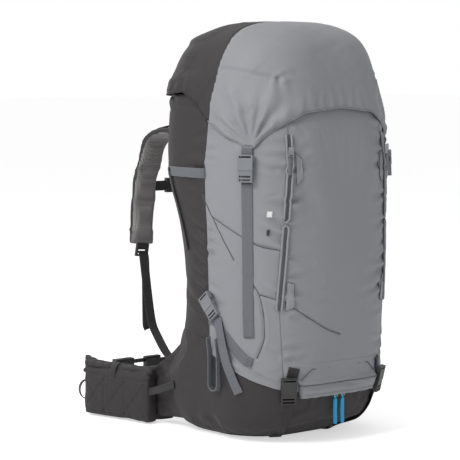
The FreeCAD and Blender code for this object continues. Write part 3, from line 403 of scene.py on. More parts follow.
def tube_mesh(name, line, radius, sides=8, squash=1.0):
    """A closed tube along a line, with rounded ends. radius may differ from point to point."""
    line = np.asarray(line, float)
    radius = np.broadcast_to(np.asarray(radius, float), (len(line),)).copy()
    along = unit(np.gradient(line, axis=0))
    line = np.vstack([line[:1] - along[:1] * radius[0] * 0.5, line,
                      line[-1:] + along[-1:] * radius[-1] * 0.5])
    along = np.vstack([along[:1], along, along[-1:]])
    radius = np.concatenate([[radius[0] * 0.35], radius, [radius[-1] * 0.35]])
    helper = np.where(np.abs(along[:, 2:3]) > 0.9, [[1.0, 0, 0]], [[0, 0, 1.0]])
    side = unit(np.cross(along, helper))
    for i in range(1, len(side)):
        side[i] = unit(side[i - 1] - along[i] * np.dot(side[i - 1], along[i]))
    up = np.cross(side, along)
    turn = np.linspace(0, CIRCLE, sides, endpoint=False)
    ring = (line[:, None] + radius[:, None, None] * (
        side[:, None] * np.cos(turn)[None, :, None]
        + up[:, None] * np.sin(turn)[None, :, None] * squash))
    length = way_along(line)
    uv = np.stack(np.broadcast_arrays(turn[None] * radius.mean(), length[:, None]), -1)
    mesh = grid_mesh(name, ring, uv, close=True)
    fill_rings(mesh, (0, (len(line) - 1) * sides), sides)
    return mesh


# --- wrinkles -------------------------------------------------------------------------------

def ripple(u, v, scale, seed, layers=5):
    """Soft irregular waves over a cloth, from -1 to 1. scale is the length of a wave."""
    random = np.random.default_rng(seed)
    total = np.zeros_like(u)
    warp = 0.0
    for _ in range(layers):
        turn, phase, pitch = random.uniform(0, CIRCLE, 2).tolist() + [random.uniform(0.7, 1.5)]
        wave = CIRCLE / (scale * pitch)
        warp = np.sin((u * math.cos(turn) + v * math.sin(turn)) * wave + phase + warp * 1.2)
        total = total + warp
    return total / layers


def gather_waves(uv, seed, step=0.026):
    """Short folds that run square to the nearer side seam, uneven in strength, from -1 to 1."""
    u, v = uv[..., 0], uv[..., 1]
    middle = (u.min() + u.max()) / 2
    lean = ripple(u, v, 0.22, seed + 50) * 0.022 + np.abs(u - middle) * 0.15
    waves = np.sin((v + lean) * CIRCLE / step + 2.2 * ripple(u * 0.3, v, 0.09, seed + 60))
    strength = np.clip(0.30 + 1.3 * ripple(u * 0.5, v, 0.11, seed + 70), 0, 1)
    return np.sign(waves) * np.abs(waves) ** 1.25 * strength


def distance(points, start, end):
    """How far points are from a straight run, and their share of the way along it."""
    run = end - start
    share = np.clip(np.sum((points - start) * run, -1) / np.dot(run, run), 0, 1)
    return np.linalg.norm(points - (start + share[..., None] * run), axis=-1), share


def distance_to_line(points, line):
    """How far points are from a line of straight runs."""
    line = np.asarray(line, float)
    return np.min([distance(points, a, b)[0] for a, b in zip(line, line[1:])], axis=0)


def creases(points, lines):
    """Depth of folds along straight lines near a surface: (start, end, width, depth)."""
    depth = np.zeros(points.shape[:-1])
    for start, end, width, amount in lines:
        away, share = distance(points, np.asarray(start, float), np.asarray(end, float))
        spread = width * (0.45 + 0.55 * share)
        fade = smooth(share / 0.15) * (1 - 0.8 * smooth(share))
        fade = np.where(share < 0.15, 0.35 + 0.65 * fade, fade)
        wave = np.exp(-(away / spread) ** 2) - 0.55 * np.exp(-((away - 1.9 * spread) / spread) ** 2)
        depth += amount * fade * wave
    return depth


def outward_of(points):
    """Directions square to a grid of points, away from the pack's middle."""
    across = np.gradient(points, axis=1)
    up = np.gradient(points, axis=0)
    normal = unit(np.cross(across, up))
    middle = points.reshape(-1, 3).mean(0)
    hub = np.array([0, MIDDLE_Y, middle[2]])
    if np.sum(normal * (points - hub)) < 0:
        normal = -normal
    return normal


def cloth_length(points):
    """Each grid point's place on the flat cloth, from the lengths along rows and columns."""
    u = np.linalg.norm(np.diff(points, axis=1), axis=-1).mean(0)
    v = np.linalg.norm(np.diff(points, axis=0), axis=-1).mean(1)
    u = np.concatenate([[0], np.cumsum(u)])
    v = np.concatenate([[0], np.cumsum(v)])
    return np.stack(np.broadcast_arrays(u[None], v[:, None]), -1)


# --- sizes and colours a user can change ----------------------------------------------------

def colour_setting(name, text, value):
    """A colour in the panel."""
    return bpy.props.FloatVectorProperty(name=name, description=text, subtype="COLOR", size=3,
                                         min=0, max=1, default=value)


def length_setting(name, text, value):
    """A length in the panel."""
    return bpy.props.FloatProperty(name=name, description=text, default=value, min=0,
                                   subtype="DISTANCE", unit="LENGTH")


def share_setting(name, text, value):
    """A share or strength in the panel."""
    return bpy.props.FloatProperty(name=name, description=text, default=value, min=0,
                                   subtype="FACTOR")


class PackSizes(bpy.types.PropertyGroup):
    """Sizes of the cloth, webbing and hardware."""
    cloth_thick: length_setting("Cloth thickness", "Thickness of the bag's cloth", 0.0014)
    lid_thick: length_setting("Lid cloth thickness", "Thickness of the lid's cloth and lining", 0.0022)
    webbing_thick: length_setting("Webbing thickness", "Thickness of all flat webbing", 0.0016)
    front_webbing: length_setting("Front strap width", "Width of the two long front straps", 0.020)
    side_webbing: length_setting("Side strap width", "Width of the compression straps", 0.0175)
    stitch_step: length_setting("Stitch spacing", "Distance from one stitch to the next", 0.0036)
    tooth_step: length_setting("Zip tooth spacing", "Distance from one zip tooth to the next", 0.0026)
    pucker: share_setting("Pucker", "How strongly the cloth gathers at its seams", 1.0)
    fullness: share_setting("Fullness", "How far the filled bag pushes its cloth out", 1.0)


class PackColours(bpy.types.PropertyGroup):
    """Colours of the cloth, webbing and hardware."""
    grey_cloth: colour_setting("Grey cloth", "Cloth of the front, sides and lid", (0.262, 0.270, 0.290))
    dark_cloth: colour_setting("Dark cloth", "Ripstop of the back, base and belt", (0.0295, 0.0255, 0.027))
    grey_webbing: colour_setting("Grey webbing", "Front and side straps", (0.140, 0.150, 0.168))
    black_webbing: colour_setting("Black webbing", "Base, harness and belt straps", (0.020, 0.019, 0.019))
    grey_plastic: colour_setting("Grey plastic", "Buckles of the front and sides", (0.165, 0.176, 0.192))
    black_plastic: colour_setting("Black plastic", "Buckles of base and harness", (0.025, 0.024, 0.024))
    pale_mesh: colour_setting("Pale mesh", "Inner face of the shoulder pads", (0.255, 0.240, 0.240))
    dark_mesh: colour_setting("Dark mesh", "Back pads and belt lining", (0.075, 0.070, 0.072))
    accent: colour_setting("Accent", "Zip pullers and bar tacks", (0.004, 0.330, 0.610))
    zip_metal: colour_setting("Zip metal", "Zip sliders", (0.30, 0.31, 0.32))
    floor: colour_setting("Floor", "Studio floor", (0.93, 0.93, 0.935))


# --- materials ------------------------------------------------------------------------------

def add_node(tree, kind, place=(0, 0), **values):
    """A node, with its properties and the values of its inputs."""
    node = tree.nodes.new(kind)
    node.location = place
    for key, value in values.items():
        if hasattr(node, key) and key not in node.inputs:
            setattr(node, key, value)
        else:
            node.inputs[key].default_value = value
    return node


def math_node(tree, operation, a, b=None):
    """A math node on two sockets or numbers."""
    node = tree.nodes.new("ShaderNodeMath")
    node.operation = operation
    for socket, value in zip(node.inputs, (a, b)):
        if value is None:
            continue
        if isinstance(value, (int, float)):
            socket.default_value = value
        else:
            tree.links.new(value, socket)
    return node.outputs[0]


def new_group(name, inputs, outputs):
    """An empty shader group with named sockets. inputs gives each one its type and value."""
    tree = bpy.data.node_groups.new(name, "ShaderNodeTree")
    for label, (kind, value) in inputs.items():
        socket = tree.interface.new_socket(label, in_out="INPUT", socket_type="NodeSocket" + kind)
        if value is not None:
            socket.default_value = value
    for label, kind in outputs.items():
        tree.interface.new_socket(label, in_out="OUTPUT", socket_type="NodeSocket" + kind)
    start = tree.nodes.new("NodeGroupInput")
    end = tree.nodes.new("NodeGroupOutput")
    return tree, start.outputs, end.inputs


def weave_group():
    """Threads of a plain weave with the thicker threads of a ripstop grid. Lengths in metres."""
    tree, given, result = new_group(
        "Weave", {"Vector": ("Vector", None), "Thread": ("Float", 0.0006),
                  "Grid": ("Float", 0.005), "Grid strength": ("Float", 0.6)},
        {"Height": "Float", "Grid mask": "Float"})
    maths = partial(math_node, tree)
    split = add_node(tree, "ShaderNodeSeparateXYZ")
    tree.links.new(given["Vector"], split.inputs[0])
    waves, lines = [], []
    for axis in (0, 1):
        pitch = maths("DIVIDE", split.outputs[axis], given["Thread"])
        waves.append(maths("SINE", maths("MULTIPLY", pitch, CIRCLE)))
        place = maths("FRACT", maths("DIVIDE", split.outputs[axis], given["Grid"]))
        away = maths("ABSOLUTE", maths("SUBTRACT", place, 0.5))
        lines.append(maths("GREATER_THAN", away, 0.44))
    grid = maths("MAXIMUM", *lines)
    threads = maths("MULTIPLY", waves[0], waves[1])
    raised = maths("MULTIPLY", grid, given["Grid strength"])
    tree.links.new(maths("ADD", maths("MULTIPLY", threads, 0.3), raised),
                   result["Height"])
    tree.links.new(grid, result["Grid mask"])
    return tree


def wear_group():
    """Uneven colour of used cloth or plastic: broad clouds, fine grain and rubbed edges."""
    tree, given, result = new_group(
        "Wear", {"Vector": ("Vector", None), "Color": ("Color", (0.3, 0.3, 0.3, 1)),
                 "Clouds": ("Float", 0.1), "Grain": ("Float", 0.1), "Edges": ("Float", 0.15),
                 "Dust": ("Float", 0.05)},
        {"Color": "Color", "Rough": "Float", "Fine": "Float"})
    maths = partial(math_node, tree)
    broad = add_node(tree, "ShaderNodeTexNoise", Scale=7.0, Detail=4.0)
    fine = add_node(tree, "ShaderNodeTexNoise", Scale=900.0, Detail=2.0)
    place = add_node(tree, "ShaderNodeNewGeometry")
    for noise in (broad, fine):
        tree.links.new(given["Vector"], noise.inputs["Vector"])

    def swing(value, amount):
        return maths("MULTIPLY", maths("SUBTRACT", value, 0.5), amount)

    edge = add_node(tree, "ShaderNodeMapRange")
    tree.links.new(place.outputs["Pointiness"], edge.inputs["Value"])
    edge.inputs["From Min"].default_value = 0.52
    edge.inputs["From Max"].default_value = 0.62
    light = maths("ADD", maths("ADD", swing(broad.outputs[0], given["Clouds"]),
                                             swing(fine.outputs[0], given["Grain"])), 1.0)
    light = maths("ADD", light, maths("MULTIPLY", edge.outputs[0], given["Edges"]))
    tint = add_node(tree, "ShaderNodeVectorMath", operation="SCALE")
    tree.links.new(given["Color"], tint.inputs[0])
    tree.links.new(light, tint.inputs["Scale"])
    split = add_node(tree, "ShaderNodeSeparateXYZ")
    tree.links.new(place.outputs["Normal"], split.inputs[0])
    top = maths("MAXIMUM", split.outputs[2], 0.0)
    dust = maths("MULTIPLY", maths("MULTIPLY", top, broad.outputs[0]), given["Dust"])
    mix = add_node(tree, "ShaderNodeMix", data_type="RGBA")
    tree.links.new(dust, mix.inputs[0])
    tree.links.new(tint.outputs[0], mix.inputs[6])
    mix.inputs[7].default_value = (0.42, 0.40, 0.37, 1)
    tree.links.new(mix.outputs[2], result["Color"])
    tree.links.new(swing(broad.outputs[0], 0.12), result["Rough"])
    tree.links.new(fine.outputs[0], result["Fine"])
    return tree


def webbing_group():
    """Rows of a flat webbing's weave: slanted ribs along its length and a bound edge."""
    tree, given, result = new_group(
        "Webbing weave", {"Vector": ("Vector", None), "Rib": ("Float", 0.0016)},
        {"Height": "Float", "Shade": "Float"})
    maths = partial(math_node, tree)
    split = add_node(tree, "ShaderNodeSeparateXYZ")
    tree.links.new(given["Vector"], split.inputs[0])
    across = maths("DIVIDE", split.outputs[0], given["Rib"])
    along = maths("DIVIDE", split.outputs[1], given["Rib"])
    zigzag = maths("PINGPONG", across, 1.0)
    rib = maths("SINE", maths("MULTIPLY", maths("ADD", along, zigzag), math.pi))
    tree.links.new(rib, result["Height"])
    tree.links.new(maths("ADD", maths("MULTIPLY", rib, 0.06), 1.0), result["Shade"])
    return tree


def spacer_group():
    """Open holes of a spacer mesh."""
    tree, given, result = new_group(
        "Spacer mesh", {"Vector": ("Vector", None), "Hole": ("Float", 0.0032)},
        {"Height": "Float", "Shade": "Float"})
    maths = partial(math_node, tree)
    scale = add_node(tree, "ShaderNodeVectorMath", operation="SCALE")
    tree.links.new(given["Vector"], scale.inputs[0])
    tree.links.new(maths("DIVIDE", 1.0, given["Hole"]), scale.inputs["Scale"])
    cells = add_node(tree, "ShaderNodeTexVoronoi", Scale=1.0, Randomness=0.18)
    tree.links.new(scale.outputs[0], cells.inputs["Vector"])
    ramp = add_node(tree, "ShaderNodeMapRange")
    tree.links.new(cells.outputs["Distance"], ramp.inputs["Value"])
    ramp.inputs["From Min"].default_value = 0.22
    ramp.inputs["From Max"].default_value = 0.5
    tree.links.new(ramp.outputs[0], result["Height"])
    tree.links.new(maths("ADD", maths("MULTIPLY", ramp.outputs[0], 0.5), 0.55),
                   result["Shade"])
    return tree


def group_node(tree, name, make, **values):
    """A node of a shared group, which is built the first time."""
    node = tree.nodes.new("ShaderNodeGroup")
    node.node_tree = bpy.data.node_groups.get(name) or make()
    for key, value in values.items():
        node.inputs[key.replace("_", " ")].default_value = value
    return node


def material(name, colour, pattern="plain", roughness=0.7, sheen=0.0, bump=0.1, metallic=0.0,
             clouds=0.1, grain=0.1, edges=0.1, dust=0.05, uv=False, **sizes):
    """A material: a tinted, worn base with one of the patterns in its bump and shade."""
    found = bpy.data.materials.get(PREFIX + name)
    if found:
        return found
    made = bpy.data.materials.new(PREFIX + name)
    made.use_nodes = True
    tree = made.node_tree
    shader = tree.nodes["Principled BSDF"]
    shader.inputs["Roughness"].default_value = roughness
    shader.inputs["Metallic"].default_value = metallic
    shader.inputs["Sheen Weight"].default_value = sheen
    shader.inputs["Sheen Roughness"].default_value = 0.45
    if uv:
        source = add_node(tree, "ShaderNodeUVMap", uv_map="cloth").outputs[0]
    else:
        source = tree.nodes.new("ShaderNodeTexCoord").outputs["Object"]
    solid = tree.nodes.new("ShaderNodeTexCoord").outputs["Object"]
    wear = group_node(tree, "Wear", wear_group, Clouds=clouds, Grain=grain, Edges=edges, Dust=dust)
    wear.inputs["Color"].default_value = (*colour, 1)
    tree.links.new(solid, wear.inputs["Vector"])
    colour_out = wear.outputs["Color"]
    rough = math_node(tree, "ADD", wear.outputs["Rough"], roughness)
    tree.links.new(rough, shader.inputs["Roughness"])
    height = wear.outputs["Fine"]
    makers = {"weave": ("Weave", weave_group), "webbing": ("Webbing weave", webbing_group),
              "spacer": ("Spacer mesh", spacer_group)}
    if pattern in makers:
        node = group_node(tree, *makers[pattern], **sizes)
        tree.links.new(source, node.inputs["Vector"])
        height = node.outputs["Height"]
        shade = node.outputs[1]
        if pattern == "weave":
            shade = math_node(tree, "MULTIPLY", shade, node.inputs["Grid strength"].default_value * 0.2)
            shade = math_node(tree, "ADD", shade, 0.98)
        tint = add_node(tree, "ShaderNodeVectorMath", operation="SCALE")
        tree.links.new(colour_out, tint.inputs[0])
        tree.links.new(shade, tint.inputs["Scale"])
        colour_out = tint.outputs[0]
    relief = add_node(tree, "ShaderNodeBump", Strength=bump, Distance=0.0006)
    tree.links.new(height, relief.inputs["Height"])
    tree.links.new(relief.outputs[0], shader.inputs["Normal"])
    tree.links.new(colour_out, shader.inputs["Base Color"])
    return made


def finish(name):
    """The material of one of the pack's finishes."""
    colour = bpy.context.scene.pack_colours
    ripstop = dict(colour=colour.dark_cloth, pattern="weave", roughness=0.66, sheen=0.05, clouds=0.16,
                   grain=0.10, edges=0.25, dust=0.02, Thread=0.0007, Grid=0.0052)

    def shaded(paint, share):
        return tuple(part * share for part in paint)

    table = {
        "grey_cloth": dict(colour=colour.grey_cloth, pattern="weave", roughness=0.62, sheen=0.15, bump=0.10,
                           clouds=0.06, grain=0.05, edges=0.10, uv=True, Thread=0.0007, Grid=0.0060,
                           Grid_strength=0.05),
        "dark_cloth": dict(ripstop, bump=0.22, uv=True, Grid_strength=0.9),
        "dark_cloth_object": dict(ripstop, bump=0.2, Grid_strength=0.5),
        "grey_webbing": dict(colour=colour.grey_webbing, pattern="webbing", roughness=0.62, bump=0.5,
                             dust=0.02, uv=True, Rib=0.0016),
        "black_webbing": dict(colour=colour.black_webbing, pattern="webbing", roughness=0.6, bump=0.5,
                              sheen=0.1, uv=True, Rib=0.0016),
        "grey_plastic": dict(colour=colour.grey_plastic, roughness=0.42, bump=0.06, edges=0.3),
        "black_plastic": dict(colour=colour.black_plastic, roughness=0.40, bump=0.06, edges=0.6),
        "pale_mesh": dict(colour=colour.pale_mesh, pattern="spacer", roughness=0.8, bump=0.2, sheen=0.1,
                          edges=0.0, Hole=0.0032),
        "dark_mesh": dict(colour=colour.dark_mesh, pattern="spacer", roughness=0.85, bump=0.6, sheen=0.2,
                          Hole=0.0036),
        "accent": dict(colour=colour.accent, roughness=0.45, bump=0.1, edges=0.2),
        "zip_metal": dict(colour=colour.zip_metal, roughness=0.35, bump=0.05, metallic=0.9, edges=0.3),
        "zip_tape": dict(colour=shaded(colour.grey_cloth, 0.50), pattern="webbing", roughness=0.7,
                         bump=0.3, uv=True, Rib=0.0010),
        "thread_grey": dict(colour=shaded(colour.grey_cloth, 0.80), roughness=0.7, bump=0.1),
        "thread_dark": dict(colour=shaded(colour.dark_cloth, 0.7), roughness=0.7, bump=0.1),
        # seam_shadow is painted shade: the dark colour of the cords laid in seam grooves and around the
        # garages. The zip teeth use it as their own dark colour.
        "seam_shadow": dict(colour=shaded(colour.grey_cloth, 0.34), roughness=0.8, bump=0.1),
        "hdpe": dict(colour=(0.72, 0.72, 0.70), roughness=0.5, bump=0.05),
        "aluminium": dict(colour=(0.60, 0.61, 0.62), roughness=0.35, bump=0.03, metallic=1.0),
    }
    return material(name, **table[name])


# --- stage ----------------------------------------------------------------------------------

class BACKPACK_OT_stage(bpy.types.Operator):
    """Sets up the floor, the soft lights and the camera"""
    bl_idname = "backpack.stage"
    bl_label = "Stage"

    def execute(self, context):
        scene = context.scene
        work = bmesh.new()
        bmesh.ops.create_grid(work, x_segments=2, y_segments=2, size=30)
        mesh = bpy.data.meshes.new("studio_floor")
        work.to_mesh(mesh)
        work.free()
        mesh.transform(Matrix.Translation((0, 0, -0.0005)))
        floor = bpy.data.objects.new("studio_floor", mesh)
        mesh.materials.append(material("studio_floor", scene.pack_colours.floor, roughness=0.9,
                                       bump=0.0, clouds=0.01, grain=0.0, edges=0.0, dust=0.0))
        glow = mesh.materials[0].node_tree.nodes["Principled BSDF"]
        glow.inputs["Emission Color"].default_value = (1, 1, 1, 1)
        self.seen_brighter(mesh.materials[0].node_tree, glow.inputs["Emission Strength"], 0.12, 0.56)
        scene.collection.objects.link(floor)
        target = Vector((0, 0.140, 0.354))
        turn, tilt, distance = math.radians(-40), math.radians(5), 3.5
        way = Vector((math.sin(turn) * math.cos(tilt), -math.cos(turn) * math.cos(tilt), math.sin(tilt)))
        camera = bpy.data.objects.new("studio_camera", bpy.data.cameras.new("studio_camera"))
        camera.data.lens, camera.data.sensor_width, camera.data.clip_end = 146.35, 36, 60
        camera.location = target + way * distance
        camera.rotation_euler = (-way).to_track_quat("-Z", "Y").to_euler()
        scene.collection.objects.link(camera)
        scene.camera = camera
        right = Vector((math.cos(turn), math.sin(turn), 0))
        lights = (("key", way * 1.6 - right * 1.5 + Vector((0, 0, 1.6)), 1.1, 41),
                  ("fill", way * 2.2 + right * 1.9 + Vector((0, 0, 0.4)), 1.8, 2.4),
                  ("top", Vector((0, 0, 2.6)) + way * 0.2, 1.8, 9),
                  ("back", -way * 1.6 - right * 1.2 + Vector((0, 0, 1.4)), 1.6, 8))
        for name, place, size, power in lights:
            light = bpy.data.lights.new(name, "AREA")
            light.size = size
            light.energy = power
            lamp = bpy.data.objects.new(name, light)
            lamp.location = target + place
            lamp.rotation_euler = (-place).to_track_quat("-Z", "Y").to_euler()
            scene.collection.objects.link(lamp)
        world = scene.world or bpy.data.worlds.new("studio")
        scene.world = world
        world.use_nodes = True
        sky = world.node_tree.nodes["Background"]
        sky.inputs[0].default_value = (1, 1, 1, 1)
        self.seen_brighter(world.node_tree, sky.inputs[1], 0.45, 1.0)
        scene.view_settings.view_transform = "Standard"
        return {"FINISHED"}

    def seen_brighter(self, tree, socket, lit, seen):
        """One strength for what the floor or sky lights, and another for how it looks itself."""
        strength = add_node(tree, "ShaderNodeMapRange")
        strength.inputs["To Min"].default_value = lit
        strength.inputs["To Max"].default_value = seen
        seen_itself = tree.nodes.new("ShaderNodeLightPath").outputs["Is Camera Ray"]
        tree.links.new(seen_itself, strength.inputs["Value"])
        tree.links.new(strength.outputs[0], socket)


# --- cloth that is pushed out by what it holds ----------------------------------------------

def settle(mesh, pins, pressure, slack, limit, loose=None, frames=18, stiffness=12.0, bend=0.35, mass=0.25):
    """Blows a cloth mesh out with its pinned points held. pins and loose are weights by vertex."""
    scene = bpy.context.scene
    piece = bpy.data.objects.new("settling", mesh)
    scene.collection.objects.link(piece)
    before = read(mesh)
    cloth = piece.modifiers.new("Cloth", "CLOTH")
    set_up = cloth.settings

    def group_of(name, weights):
        group = piece.vertex_groups.new(name=name)
        for index in np.nonzero(weights > 0.01)[0]:
            group.add([int(index)], float(min(1, weights[index])), "REPLACE")
        return name

    if pins is not None:
        set_up.vertex_group_mass = group_of("pin", pins)
    if loose is not None:
        set_up.vertex_group_shrink = group_of("loose", loose)
        set_up.shrink_max = -slack
        set_up.shrink_min = 0
    else:
        set_up.shrink_min = -slack
    set_up.quality = 5
    set_up.mass = mass
    set_up.tension_stiffness = set_up.compression_stiffness = stiffness
    set_up.shear_stiffness = stiffness * 0.5
    set_up.bending_stiffness = bend
    set_up.tension_damping = set_up.compression_damping = set_up.shear_damping = 12
    set_up.use_pressure = True
    set_up.uniform_pressure_force = pressure
    set_up.effector_weights.gravity = 0
    cloth.collision_settings.use_collision = False
    cloth.point_cache.frame_start = 1
    cloth.point_cache.frame_end = frames
    for moment in range(1, frames + 1):
        scene.frame_set(moment)
    shape = made_by_modifiers(piece)
    shift = read(shape) - before
    bpy.data.meshes.remove(shape)
    scene.frame_set(1)
    far = np.linalg.norm(shift, axis=1, keepdims=True)
    write(mesh, before + shift * np.minimum(1, limit / np.maximum(far, 1e-9)))
    mesh.update()


def even_out(mesh, passes, share=0.5):
    """Smooths a mesh a little, keeping its open borders."""
    work = bmesh.new()
    work.from_mesh(mesh)
    free = [vertex for vertex in work.verts if not vertex.is_boundary]
    for _ in range(passes):
        bmesh.ops.smooth_vert(work, verts=free, factor=share, use_axis_x=True, use_axis_y=True,
                              use_axis_z=True)
    work.to_mesh(mesh)
    work.free()


def refine(grid, close=False):
    """Twice as many rows and columns of a grid, on smooth curves through the old ones."""
    for axis in (0, 1):
        grid = np.moveaxis(grid, axis, 0)
        if close and axis == 1:
            ring = np.concatenate([grid[-1:], grid, grid[:2]])
        else:
            ring = np.concatenate([2 * grid[:1] - grid[1:2], grid, 2 * grid[-1:] - grid[-2:-1]])
        middle = (9 * (ring[1:-2] + ring[2:-1]) - ring[:-3] - ring[3:]) / 16
        full = np.empty((len(grid) + len(middle), *grid.shape[1:]))
        full[0::2] = grid
        full[1::2] = middle
        grid = np.moveaxis(full, 0, axis)
    return grid


# --- the bag's cloth ------------------------------------------------------------------------

ZIP_TOP, ZIP_FOOT = 0.524, 0.245
SPLIT_Y = -0.004
GATHER_DEPTH = 0.0042
GROUND = 0.0014
BAG_CLOTH = ("front_cloth", "side_cloth_left", "side_cloth_right", "rear_cloth", "base_cloth")


def zip_x(z):
    """How far the front zips' line lies from the middle at a height."""
    share = (ZIP_TOP - np.asarray(z, float)) / (ZIP_TOP - ZIP_FOOT)
    return 0.110 + 0.014 * np.clip(share, -0.3, 1.0) - 0.022 * np.clip(share - 1, 0, 1)


def hem_height(y):
    """Height of the seam between the upper bag and its base, by depth."""
    return 0.190 - 0.4375 * np.maximum(0, 0.055 - np.asarray(y, float))


def panel(bag, side_a, side_b, top, cell, drop=0.0):
    """A grid of the bag's skin between two lines, from the hem up. The lines give turns by height."""
    middle = (hem_height(-0.05) + top) / 2
    a, b = side_a(middle), side_b(middle)
    reach = np.linalg.norm(np.diff(bag.at(np.linspace(a, b, 60), middle), axis=0), axis=1).sum()
    columns, rows = int(reach / cell) + 1, int((top - 0.1) / cell) + 1
    share = np.linspace(0, 1, columns)
    low = np.full(columns, 0.15)
    for _ in range(12):
        turn = lerp(side_a(low), side_b(low), share)
        low = hem_height(bag.at(turn, low)[:, 1]) - drop
    z = lerp(low[None], top, np.linspace(0, 1, rows)[:, None])
    turn = lerp(side_a(z), side_b(z), share[None])
    return bag.at(turn, z)


def edge_weights(shape, cell, reach):
    """Weights of 1 along the borders of a grid, fading inwards over a distance."""
    row, column = np.indices(shape)
    away = np.minimum(np.minimum(row, shape[0] - 1 - row), np.minimum(column, shape[1] - 1 - column))
    return 1 - smooth(away * cell / reach)


def sewn_lines(grid, lines):
    """Depth of sewn seams over a grid of skin points. Each line is points (x, y, z) on the skin."""
    depth = np.zeros(grid.shape[:2])
    for line in lines:
        away = distance_to_line(grid, line)
        depth += 0.0024 * np.exp(-(away / 0.0028) ** 2) - 0.0005 * np.exp(-((away - 0.006) / 0.004) ** 2)
    return depth


def bag_line(bag, points, count=60, out=0.0):
    """A line on the bag's skin through (x, y, z) points near it."""
    line = spline(points, count)
    return bag.at(bag.turn_of(line[:, 0], line[:, 1]), line[:, 2], out)


def mirrored(points, side):
    """Points given for the left side, on either side."""
    points = np.array(points, float)
    points[:, 0] *= -side
    return points


def mirror_folds(folds):
    """Folds given for the left side, on the right."""
    return [((-a[0], a[1], a[2]), (-b[0], b[1], b[2]), width, depth) for a, b, width, depth in folds]


FRONT_SEAMS = ([(-0.124, -0.150, 0.256), (-0.085, -0.160, 0.232), (-0.040, -0.165, 0.205),
                (-0.005, -0.168, 0.192)],)
SIDE_SEAMS = (
    [(-0.172, 0.004, 0.432), (-0.171, -0.030, 0.385), (-0.166, -0.070, 0.325)],
    [(-0.172, -0.022, 0.398), (-0.168, -0.060, 0.380), (-0.150, -0.115, 0.352), (-0.128, -0.146, 0.345)],
    [(-0.160, -0.086, 0.306), (-0.153, -0.102, 0.286), (-0.147, -0.113, 0.268), (-0.143, -0.120, 0.230),
     (-0.142, -0.120, 0.190), (-0.147, -0.108, 0.156)],
    [(-0.147, -0.112, 0.268), (-0.137, -0.132, 0.262), (-0.127, -0.147, 0.257)],
)


